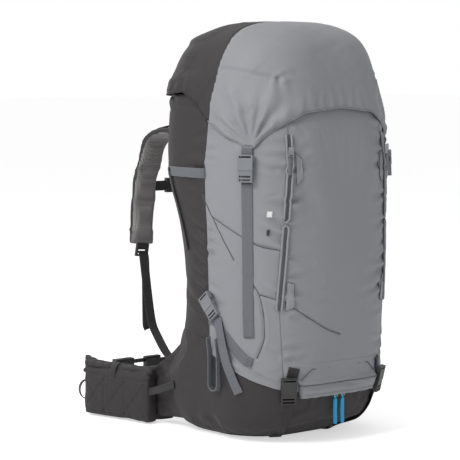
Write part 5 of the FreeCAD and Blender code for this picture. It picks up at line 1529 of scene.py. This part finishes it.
class BACKPACK_OT_zips(bpy.types.Operator):
    """Makes the zips with their teeth, welts and garages, and the flap and pocket over the base zip"""
    bl_idname = "backpack.zips"
    bl_label = "Zips and base flap"

    def execute(self, context):
        sizes = context.scene.pack_sizes
        bag = BACKPACK_OT_bag.skin
        grey, tape, thread = finish("grey_cloth"), finish("zip_tape"), finish("thread_grey")
        rows, seams = [], []
        for name, side in SIDES:
            z = np.linspace(ZIP_TOP + 0.018, ZIP_FOOT - 0.004, 96)
            turn = bag.turn_at_x(side * zip_x(z), z)
            line = bag.at(turn, z, 0.0016)
            normal = away_from_middle(line)
            mesh = strap_mesh("zip_tape_" + name, line, normal, 0.009, 0.0010)
            add_piece("zip_tape_" + name, mesh, tape, "pack", ("front_zips",) if side < 0 else ())
            rows.append(line + normal * 0.0009)
            across = np.cross(unit(np.gradient(line, axis=0)), normal)
            for label, way in (("inner", 1), ("outer", -1)):
                edge = line + across * way * 0.0046 + normal * 0.0010
                seams.append(line + across * way * 0.0078 + normal * -0.0002)
                add_piece(f"zip_welt_{name}_{label}", tube_mesh("welt", edge, 0.0021, 8, 0.8), grey, "pack")
            x = zip_x(0.50)
            top = [(x - 0.010, 0.512), (x - 0.020, 0.500), (x - 0.021, 0.468), (x - 0.011, 0.456)]
            foot = [(x + 0.003, 0.290), (x - 0.008, 0.286), (x - 0.010, 0.246), (x + 0.004, 0.240)]
            for label, outline in (("top", top), ("foot", foot)):
                outline = [(side * a, b) for a, b in outline]
                skin_patch(f"zip_garage_{name}_{label}", bag, outline, 0.0010, 0.0016, grey, "grey_fabric")
                # A thin dark cord of painted shade runs along each garage's outline.
                edge = [bag.at(bag.turn_at_x(a, b), b, 0.0018) for a, b in outline]
                edge = resample(np.array(edge), 40)
                add_piece(f"garage_edge_{name}_{label}", tube_mesh("edge", edge, 0.0007, 6),
                          finish("seam_shadow"), "pack")
            paths = list(FRONT_SEAMS if side < 0 else ())
            paths += [mirrored(path, side) if side > 0 else path for path in SIDE_SEAMS]
            for number, path in enumerate(paths):
                # Each seam gets a dark cord of painted shade laid in its groove, and a line for its
                # stitches.
                groove = bag_line(bag, path, 70, 0.0002)
                add_piece(f"seam_{name}_{number}", tube_mesh("seam", groove, 0.00075, 6),
                          finish("seam_shadow"), "pack")
                seams.append(bag_line(bag, path, 80, 0.0006) + [0, 0, 0.0030])
        row_of_bars("zip_teeth", rows, sizes.tooth_step * 0.7, 0.0034, 0.0006, finish("seam_shadow"), "pack",
                    "zip_tape", ACROSS)
        self.base_flap(context, bag, grey, tape, seams)
        row_of_bars("bag_stitches", seams, sizes.stitch_step, 0.0024, 0.00032, thread, "pack", "grey_fabric")
        self.pullers(context)
        self.labels(bag)
        return {"FINISHED"}

    def base_flap(self, context, bag, grey, tape, seams):
        """The flap that hangs over the base zip, with a flat pocket and its blue corner tacks."""
        sizes = context.scene.pack_sizes
        columns, rows = 70, 26
        across = np.linspace(-1, 1, columns)[None]
        share = np.linspace(0, 1, rows)[:, None]
        hem = hem_height(-0.160) - 0.011
        z = hem + 0.060 * share + 0 * across
        x = across * lerp(0.084, 0.100, share)
        out = lerp(0.0106, 0.0004, smooth(share * 1.05) ** 0.8)
        out = out + 0.0022 * np.exp(-((share - 0.40) / 0.05) ** 2)
        out = out - 0.0014 * np.exp(-((share - 0.47) / 0.04) ** 2)
        out = out * smooth((1.02 - np.abs(across)) / 0.10 + 0.25)
        out = out + 0.0007 * ripple(x * 0.5, z, 0.03, 41) * np.sin(math.pi * share)
        grid = bag.at(bag.turn_at_x(x, z), z, out)
        mesh = grid_mesh("base_flap_cloth", grid, cloth_length(grid))
        face_like(mesh, outward_of(grid))
        piece = add_piece("base_flap_cloth", mesh, grey, "pack", ("base_zip_flap",))
        thicken(piece, 0.0014, levels=1)
        seams.append(grid[2] + [0, -0.0006, 0])
        pocket = grid[int(rows * 0.40)]
        seams.append(pocket + [0, -0.0006, -0.0035])
        trapeze = [(-0.086, 0.118), (-0.066, 0.136), (0.066, 0.136), (0.086, 0.118)]
        corners = [bag.at(bag.turn_at_x(a, b), b, 0.0052 if b < 0.12 else 0.0016) for a, b in trapeze]
        seams.append(resample(np.array(corners), 90))
        # Dark cords of painted shade lie in the grooves of the pocket's hem and the trapeze seam.
        for label, path in (("pocket", pocket + [0, -0.0004, -0.0012]),
                            ("trapeze", resample(np.array(corners), 60) + [0, 0, -0.001])):
            add_piece("flap_seam_" + label, tube_mesh("seam", path, 0.0008, 6), finish("seam_shadow"),
                      "pack")
        marks = []
        for _, side in SIDES:
            spot = bag.at(bag.turn_at_x(side * 0.094, 0.121), 0.121, 0.0030)
            marks += [[spot + [dx, -0.0005, dz] for dz in np.linspace(-0.0035, 0.0035, 6)]
                      for dx in np.linspace(-0.0012, 0.0012, 3)]
        row_of_bars("pocket_tacks", marks, 0.0009, 0.0016, 0.00045, finish("accent"), "pack", "blue_puller",
                    ACROSS)
        z = hem_height(-0.158) + 0.001
        span = np.linspace(-0.084, 0.084, 60)
        line = bag.at(bag.turn_at_x(span, z + 0 * span), z + 0 * span, 0.0020)
        mesh = strap_mesh("base_zip_tape", line, away_from_middle(line), 0.011, 0.0010)
        add_piece("base_zip_tape", mesh, tape, "pack", ("base_zip",))
        row_of_bars("base_zip_teeth", [line + away_from_middle(line) * 0.0009], sizes.tooth_step * 0.7,
                    0.0046, 0.0006, finish("seam_shadow"), "pack", "zip_tape", ACROSS)

    def pullers(self, context):
        """Cord and moulded ends on the four zip sliders."""
        for name, _ in SIDES:
            for kind, material in (("front", "grey_plastic"), ("base", "accent")):
                node = f"{kind}_puller_{name}"
                low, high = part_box(node)
                middle = (low + high) / 2
                width = 0.0066 if kind == "front" else 0.0078
                length = high.z - low.z
                line = np.array([(middle.x, middle.y - 0.0004 + 0.001 * math.sin(3 * t), high.z - length * t)
                                 for t in np.linspace(0, 1, 30)])
                wide = np.where(np.linspace(0, 1, 30) < 0.16, 0.42, 1.0)
                wide[-2:] = 0.8
                mesh = strap_mesh("puller", line, [0, -1.0, 0] + 0 * line, width, 0.0030)
                points = read(mesh).reshape(30, -1, 3)
                narrow = np.stack([wide, wide ** 0.3, wide ** 0], -1)[:, None]
                write(mesh, line[:, None] + (points - line[:, None]) * narrow)
                piece = add_piece(f"{kind}_pull_{name}", mesh, finish(material), node, (node,))
                soften_edges(piece, 0.0004)
                paint_node(f"{kind}_slider_{name}", "zip_metal")

    def labels(self, bag):
        """The small plain tab and loop sewn beside the left strap."""
        for label, (x0, x1), (low, high), thick, material, slot in (
                ("pale", (-0.143, -0.137), (0.402, 0.412), 0.0010, "hdpe", "grey_webbing"),
                ("dark", (-0.142, -0.139), (0.370, 0.380), 0.0012, "black_webbing", "black_webbing")):
            outline = [(x0, high), (x1, high), (x1, low), (x0, low)]
            skin_patch("side_tab_" + label, bag, outline, 0.0010, thick, finish(material), slot)


def paint_node(node, name):
    """Gives a CAD node one of the pack's finishes."""
    mesh = frame["nodes"][node].data
    mesh.materials.clear()
    mesh.materials.append(finish(name))


# --- pads -----------------------------------------------------------------------------------

def pad_mesh(node, voxel, side, shrink):
    """A closed, evenly divided copy of a CAD pad, a little slimmer than the solid."""
    mesh = frame["nodes"][node].data.copy()
    work = bmesh.new()
    work.from_mesh(mesh)
    bmesh.ops.remove_doubles(work, verts=work.verts, dist=1e-6)
    if side:
        gone = [vertex for vertex in work.verts if vertex.co.x * side < 0]
        bmesh.ops.delete(work, geom=gone, context="VERTS")
    bmesh.ops.recalc_face_normals(work, faces=work.faces)
    work.to_mesh(mesh)
    work.free()
    mesh.materials.clear()
    piece = bpy.data.objects.new("pad", mesh)
    bpy.context.scene.collection.objects.link(piece)
    again = piece.modifiers.new("Even", "REMESH")
    again.mode, again.voxel_size = "VOXEL", voxel
    soften = piece.modifiers.new("Soften", "SMOOTH")
    soften.factor, soften.iterations = 0.5, 4
    made = made_by_modifiers(piece)
    bpy.data.meshes.remove(mesh)
    write(made, read(made) - read(made, "normal") * shrink)
    made.update()
    return made


def pad_piece(name, node, voxel, body, slot, materials, side=0, channels=(), ripple_depth=0.0008,
              limit=0.005, pick=None, nodes=None, shrink=0.0015, pressure=4.0, seed=3,
              channel_width=0.004, channel_depth=0.004, flat=None):
    """A padded piece: an evened copy of its solid, blown out, with sewn channels and creases."""
    mesh = pad_mesh(node, voxel, side, shrink)
    settle(mesh, None, pressure, 0.02, limit, frames=16, bend=2.0)
    even_out(mesh, 2)
    work = bmesh.new()
    work.from_mesh(mesh)
    bmesh.ops.subdivide_edges(work, edges=work.edges, cuts=1, use_grid_fill=True, smooth=0.5)
    work.to_mesh(mesh)
    work.free()
    mesh.update()
    points, normals = read(mesh), read(mesh, "normal")
    depth = np.zeros(len(points))
    level = np.array(flat) if flat else np.zeros(3)
    spots = points - (points @ level)[:, None] * level
    for line in channels:
        line = np.asarray(line, float)
        away = distance_to_line(spots, line - (line @ level)[:, None] * level)
        facing = smooth((normals @ level) * 2 - 0.6) if flat else 1.0
        depth += channel_depth * np.exp(-(away / channel_width) ** 2) * facing
    depth += ripple_depth * ripple(points[:, 0] + points[:, 1] * 0.6, points[:, 2] - points[:, 1] * 0.4,
                                   0.040, seed)
    write(mesh, points - normals * depth[:, None])
    shade_smooth(mesh)
    for material in materials:
        mesh.materials.append(material)
    if pick:
        mesh.update()
        for face in mesh.polygons:
            face.material_index = pick(face.center, face.normal)
    piece = add_piece(name, mesh, None, body, nodes if nodes is not None else (node,), slot)


class BACKPACK_OT_harness(bpy.types.Operator):
    """Makes the shoulder pads, yoke, their webbing and the chest strap"""
    bl_idname = "backpack.harness"
    bl_label = "Harness"

    def execute(self, context):
        dark, pale = finish("dark_cloth_object"), finish("pale_mesh")
        black = finish("black_webbing")

        def pick(centre, normal):
            return int(normal.y < -0.35 or (normal.z < -0.5 and centre.z > 0.46))

        for name, side in SIDES:
            pad_piece("shoulder_pad_" + name, "shoulder_pads", 0.0046, "harness", "foam_mesh",
                      (dark, pale), side=side, pick=pick, nodes=("shoulder_pads",) if side < 0 else (),
                      limit=0.004, seed=5 + side, ripple_depth=0.0003)
            self.ribbon("shoulder_webbing_" + name, "shoulder_webbing", side, 2, 0.020, black,
                        ("pack", "harness"), side < 0)
            self.ribbon("load_lifter_" + name, "load_lifters", side, 1, 0.014, black,
                        ("pack", "harness"), side < 0)
            self.ribbon("webbing_tail_" + name, "webbing_tails", side, 2, 0.018, black, "harness", side < 0,
                        count=20, skip=2)
            self.ribbon("chest_strap_" + name, "sternum_straps", side, 0, 0.019, black, "sternum", side < 0,
                        count=12)
        pad_piece("yoke_pad", "yoke", 0.0045, "harness", "foam_mesh", (dark,), limit=0.004,
                  channels=[[(-0.08, 0.17, 0.46), (0.08, 0.17, 0.46)]])
        return {"FINISHED"}

    def ribbon(self, name, node, side, axis, width, material, body, first, count=26, skip=0):
        """A free strap along the middle of its CAD ribbon."""
        line = middle_line(node, side, axis, count)[skip:]
        line = spline(line, 80)
        along = unit(np.gradient(line, axis=0))
        normal = np.cross(along, [1.0, 0, 0]) if axis != 0 else np.tile([0, 1.0, 0], (len(line), 1))
        mesh = strap_mesh(name, line, normal, width, bpy.context.scene.pack_sizes.webbing_thick)
        if isinstance(body, str):
            add_piece(name, mesh, material, body, (node,) if first else ())
            return
        piece = add_piece(name, mesh, material, None, (node,) if first else ())
        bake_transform(piece)


class BACKPACK_OT_back(bpy.types.Operator):
    """Makes the back pads and the lumbar pad"""
    bl_idname = "backpack.back"
    bl_label = "Back pads"

    def execute(self, context):
        mesh, dark = finish("dark_mesh"), finish("dark_cloth_object")
        for name, side in SIDES:
            lines = [[(side * 0.020, 0.16, z), (side * 0.096, 0.15, z)] for z in (0.200, 0.252, 0.304)]
            pad_piece("back_pad_" + name, "back_pads", 0.0050, "pack", "foam_mesh", (mesh,), side=side,
                      channels=lines, nodes=("back_pads",) if side < 0 else (), limit=0.005,
                      channel_width=0.006, channel_depth=0.006, seed=8 + side)
        lines = [[(-0.10, 0.178, 0.078), (0.10, 0.178, 0.078)]]
        pad_piece("lumbar_cushion", "lumbar_pad", 0.0050, "pack", "foam_mesh", (mesh,), channels=lines,
                  limit=0.005)
        return {"FINISHED"}


class BACKPACK_OT_belt(bpy.types.Operator):
    """Makes the hip wings, their pockets and webbing"""
    bl_idname = "backpack.belt"
    bl_label = "Hip belt"

    def execute(self, context):
        sizes = context.scene.pack_sizes
        dark, mesh, black = finish("dark_cloth_object"), finish("dark_mesh"), finish("black_webbing")
        for name, side in SIDES:
            body = "hip_wing_" + name

            def pick(_, normal, side=side):
                return int(normal.x * side < -0.3)

            pad_piece("hip_pad_" + name, body, 0.0046, body, "foam_mesh", (dark, mesh), pick=pick,
                      limit=0.004, seed=11 + side)
            self.pocket(name, side, dark)
            node = "hip_webbing_" + name
            line = spline(middle_line(node, 0, 0, 26, sign=side), 80)
            normal = np.cross(unit(np.gradient(line, axis=0)), [0, 0, 1.0])
            strap = strap_mesh(node, line, normal, 0.036, 0.0020)
            add_piece("belt_strap_" + name, strap, black, body, (node,))
            self.gusset(name, side, sizes)
            self.belt_loop(name, side, black)
        return {"FINISHED"}

    def gusset(self, name, side, sizes):
        """The cloth and strap that draw the hip wing to the base."""
        bag = BACKPACK_OT_bag.skin
        rows, columns = 26, 22
        up = np.linspace(0, 1, rows)[:, None]
        along = np.linspace(0, 1, columns)[None]
        pack_z = lerp(0.020, 0.158, up)
        y = 0.104 + 0.012 * up
        turn = bag.turn_at_y(y, pack_z, side)
        near = bag.at(turn, pack_z, -0.002)
        far = np.stack(np.broadcast_arrays(side * 0.143, 0.196, lerp(0.012, 0.098, up)), -1)
        grid = near + (far - near) * along[..., None]
        fold = ripple(grid[..., 2] * 1.6, grid[..., 1], 0.040, 61) * 0.0035 * np.sin(math.pi * along)
        grid[..., 0] += fold - side * 0.006 * np.sin(math.pi * along)
        mesh = grid_mesh("gusset", grid, cloth_length(grid))
        piece = add_piece("belt_gusset_" + name, mesh, finish("dark_cloth"), None)
        thicken(piece, sizes.cloth_thick, offset=0)
        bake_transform(piece)
        start = bag.at(bag.turn_at_y(0.098, 0.086, side), 0.086, 0.002)
        end = np.array([side * 0.163, 0.182, 0.060])
        line = spline([start, (start + end) / 2 + [side * 0.002, 0, -0.002], end], 30)
        strap = strap_mesh("draw", line, [side * 1.0, 0.3, 0] + 0 * line, 0.014, sizes.webbing_thick)
        piece = add_piece("belt_draw_strap_" + name, strap, finish("black_webbing"), None)
        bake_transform(piece)

    def belt_loop(self, name, side, black):
        """A small webbing loop at the front end of the hip pad."""
        turn = np.linspace(-math.pi / 2, math.pi / 2, 14)
        bend = np.stack([side * (0.170 + 0.012 * np.cos(turn)), 0.366 + 0.006 * np.cos(turn),
                         0.042 + 0.018 * np.sin(turn)], -1)
        line = resample(np.vstack([(side * 0.160, 0.362, 0.024), bend, (side * 0.160, 0.362, 0.060)]), 40)
        along = unit(np.gradient(line, axis=0))
        normal = np.cross(along, [0.35 * side, -0.94, 0])
        mesh = strap_mesh("belt_loop", line, normal, 0.010, 0.0018)
        add_piece("belt_loop_" + name, mesh, black, "hip_wing_" + name)

    def pocket(self, name, side, dark):
        """The roll-top hip pocket: an evened shell with its pressed pattern and rolled top."""
        node = "hip_pocket_" + name
        body = "hip_wing_" + name
        start = np.array([side * 0.166, 0.178])
        end = np.array([side * 0.195, 0.340])
        reach = np.linalg.norm(end - start)
        run = (end - start) / reach
        out = np.array([side * run[1], -side * run[0], 0])

        def on_face(s, z):
            spot = start + run * s * reach
            return (spot[0], spot[1], z)

        lines = []
        for a, b in ((0.04, 0.34), (0.34, 0.66), (0.66, 0.96)):
            lines += [[on_face(a, 0.014), on_face(b, 0.074)], [on_face(a, 0.074), on_face(b, 0.014)],
                      [on_face(b, 0.010), on_face(b, 0.078)]]
        lines += [[on_face(0.02, 0.080), on_face(0.98, 0.080)], [on_face(0.02, 0.011), on_face(0.98, 0.011)]]
        pad_piece("hip_pocket_shell_" + name, node, 0.0042, body, "dark_fabric", (dark,), channels=lines,
                  channel_width=0.0021, channel_depth=0.0017, limit=0.0035, shrink=0.0005, pressure=3.0,
                  seed=13 + side, ripple_depth=0.0012, flat=tuple(out))
        way = np.linspace(0.0, 1.0, 70)
        for label, z, back, radius in (("roll", 0.0975, -0.011, 0.0085), ("fold", 0.0860, -0.0045, 0.0060)):
            line = np.array([on_face(s, z) for s in way]) + out * back
            line[:, 2] += 0.0012 * np.sin(way * 17 + z * 300)
            swell = radius * (1 + 0.10 * np.sin(way * 23 + 1) + 0.06 * np.sin(way * 51))
            mesh = tube_mesh("roll", line, swell, 14, 0.8)
            add_piece(f"hip_pocket_{label}_{name}", mesh, dark, body)
        strap = np.array([on_face(0.52, z) for z in (0.106, 0.100, 0.090, 0.076, 0.062)])
        strap += out * np.array([-0.012, -0.001, 0.0036, 0.0036, 0.0030])[:, None]
        mesh = strap_mesh("strap", spline(strap, 30), out + 0 * spline(strap, 30), 0.014, 0.0018)
        add_piece("hip_pocket_strap_" + name, mesh, finish("black_webbing"), body)


class BACKPACK_OT_inside(bpy.types.Operator):
    """Makes the collar, the divider and the finish of the frame, stays and hardware"""
    bl_idname = "backpack.inside"
    bl_label = "Collar, divider and hardware"

    def execute(self, context):
        sizes = context.scene.pack_sizes
        dark = finish("dark_cloth")
        turn = np.linspace(0, CIRCLE, 260, endpoint=False)
        tree = tree_of(("collar",))
        rows = []
        for z in np.linspace(0.592, 0.6345, 16):
            middle = Vector((0, MIDDLE_Y, z))
            ways = [level_way(t) for t in turn]
            rows.append([tuple(tree.ray_cast(middle + way * 0.4, -way)[0] or middle + way * 0.13)
                         for way in ways])
        grid = np.array(rows)
        share = np.linspace(0, 1, len(rows))[:, None]
        away = away_from_middle(grid.reshape(-1, 3)).reshape(grid.shape)
        gather = np.sin(turn * 38 + 2 * ripple(turn * 0.16, turn * 0, 0.09, 44))[None] * 0.0024 * share
        grid = grid - away * (0.003 + gather)[..., None]
        mesh = grid_mesh("collar_cloth", grid, uv_of_closed(grid), close=True)
        face_like(mesh, away)
        piece = add_piece("collar_cloth", mesh, dark, "pack", ("collar",))
        thicken(piece, sizes.cloth_thick, levels=1)
        channel = np.vstack([grid[-1], grid[-1:, 0]])
        add_piece("collar_channel", tube_mesh("collar_channel", channel, 0.0035, 8),
                  dark, "pack")
        self.divider(sizes, dark)
        plain = {"hdpe": ("frame_sheet",), "aluminium": ("aluminium_stays",),
                 "black_plastic": ("ladder_locks", "sternum_buckle", "sternum_clip", "hip_buckle",
                                   "hip_clip", "base_buckles", "base_clip_left", "base_clip_right"),
                 "grey_plastic": ("lid_buckles", "lid_clip_left", "lid_clip_right", "side_buckles",
                                  "side_clip_left", "side_clip_right")}
        for material, nodes in plain.items():
            for node in nodes:
                paint_node(node, material)
        self.lid_tabs(sizes)
        return {"FINISHED"}

    def divider(self, sizes, dark):
        """The divider above the base compartment, sagging under its load."""
        bag = BACKPACK_OT_bag.skin
        level = float(np.median(node_points("compartment_divider")[:, 2]))
        turn = np.linspace(0, CIRCLE, 120, endpoint=False)
        grid, share = disc(bag.at(turn, level, -0.006), level, 20)
        grid[..., 2] = level - 0.004 * np.cos(share * math.pi / 2) ** 2
        grid[..., 2] += 0.0015 * ripple(grid[..., 0], grid[..., 1], 0.06, 19) * (1 - share ** 4)
        piece = add_piece("divider_cloth", disc_mesh("divider_cloth", grid), dark, "pack",
                          ("compartment_divider",))
        thicken(piece, sizes.cloth_thick)

    def lid_tabs(self, sizes):
        """The webbing that joins the lid's tips to their buckles, and the lid's pocket zip."""
        grey = finish("grey_webbing")
        for name, side in SIDES:
            line = middle_line("lid_tabs", side, 2, 8)
            line = spline(line, 24)
            line = np.vstack([line, line[-1:] + [-side * 0.002, 0, 0.006]])
            mesh = strap_mesh("lid_tab", line, away_from_middle(line), sizes.front_webbing, 0.0022)
            add_piece("lid_tab_" + name, mesh, grey, "lid", ("lid_tabs",) if side < 0 else ())
        cap = BACKPACK_OT_lid.skin
        level = float(np.median(node_points("lid_pocket_zip")[:, 2]))
        turns = np.linspace(math.radians(55), math.radians(125), 80)
        line = cap.at(turns, cap.tilt_at(turns, level), 0.0015)
        mesh = strap_mesh("lid_zip", line, away_from_middle(line), 0.011, 0.0010)
        add_piece("lid_zip_tape", mesh, finish("zip_tape"), "lid", ("lid_pocket_zip",))
        row_of_bars("lid_zip_teeth", [line + away_from_middle(line) * 0.0009], sizes.tooth_step * 0.7,
                    0.0046, 0.0006, finish("seam_shadow"), "lid", "zip_tape", ACROSS)


# --- the panel and the run ------------------------------------------------------------------

OPERATORS = (BACKPACK_OT_stage, BACKPACK_OT_bag, BACKPACK_OT_lid, BACKPACK_OT_straps,
             BACKPACK_OT_zips, BACKPACK_OT_harness, BACKPACK_OT_back, BACKPACK_OT_belt, BACKPACK_OT_inside)


class BACKPACK_PT_panel(bpy.types.Panel):
    """Lists the pack's settings and pieces"""
    bl_idname = "BACKPACK_PT_panel"
    bl_label = "Backpack"
    bl_space_type = "VIEW_3D"
    bl_region_type = "UI"
    bl_category = "Backpack"

    def draw(self, context):
        for settings in (context.scene.pack_sizes, context.scene.pack_colours):
            for name in settings.__annotations__:
                self.layout.prop(settings, name)
        for operator in OPERATORS:
            self.layout.operator(operator.bl_idname)


CLASSES = (PackSizes, PackColours, *OPERATORS, BACKPACK_PT_panel)


def register():
    for cls in CLASSES:
        bpy.utils.register_class(cls)
    bpy.types.Scene.pack_sizes = bpy.props.PointerProperty(type=PackSizes)
    bpy.types.Scene.pack_colours = bpy.props.PointerProperty(type=PackColours)


def unregister():
    del bpy.types.Scene.pack_colours
    del bpy.types.Scene.pack_sizes
    for cls in reversed(CLASSES):
        bpy.utils.unregister_class(cls)


def main():
    """Builds every piece in order."""
    register()
    for operator in OPERATORS:
        category, name = operator.bl_idname.split(".")
        getattr(getattr(bpy.ops, category), name)()


if __name__ == "__main__":
    main()
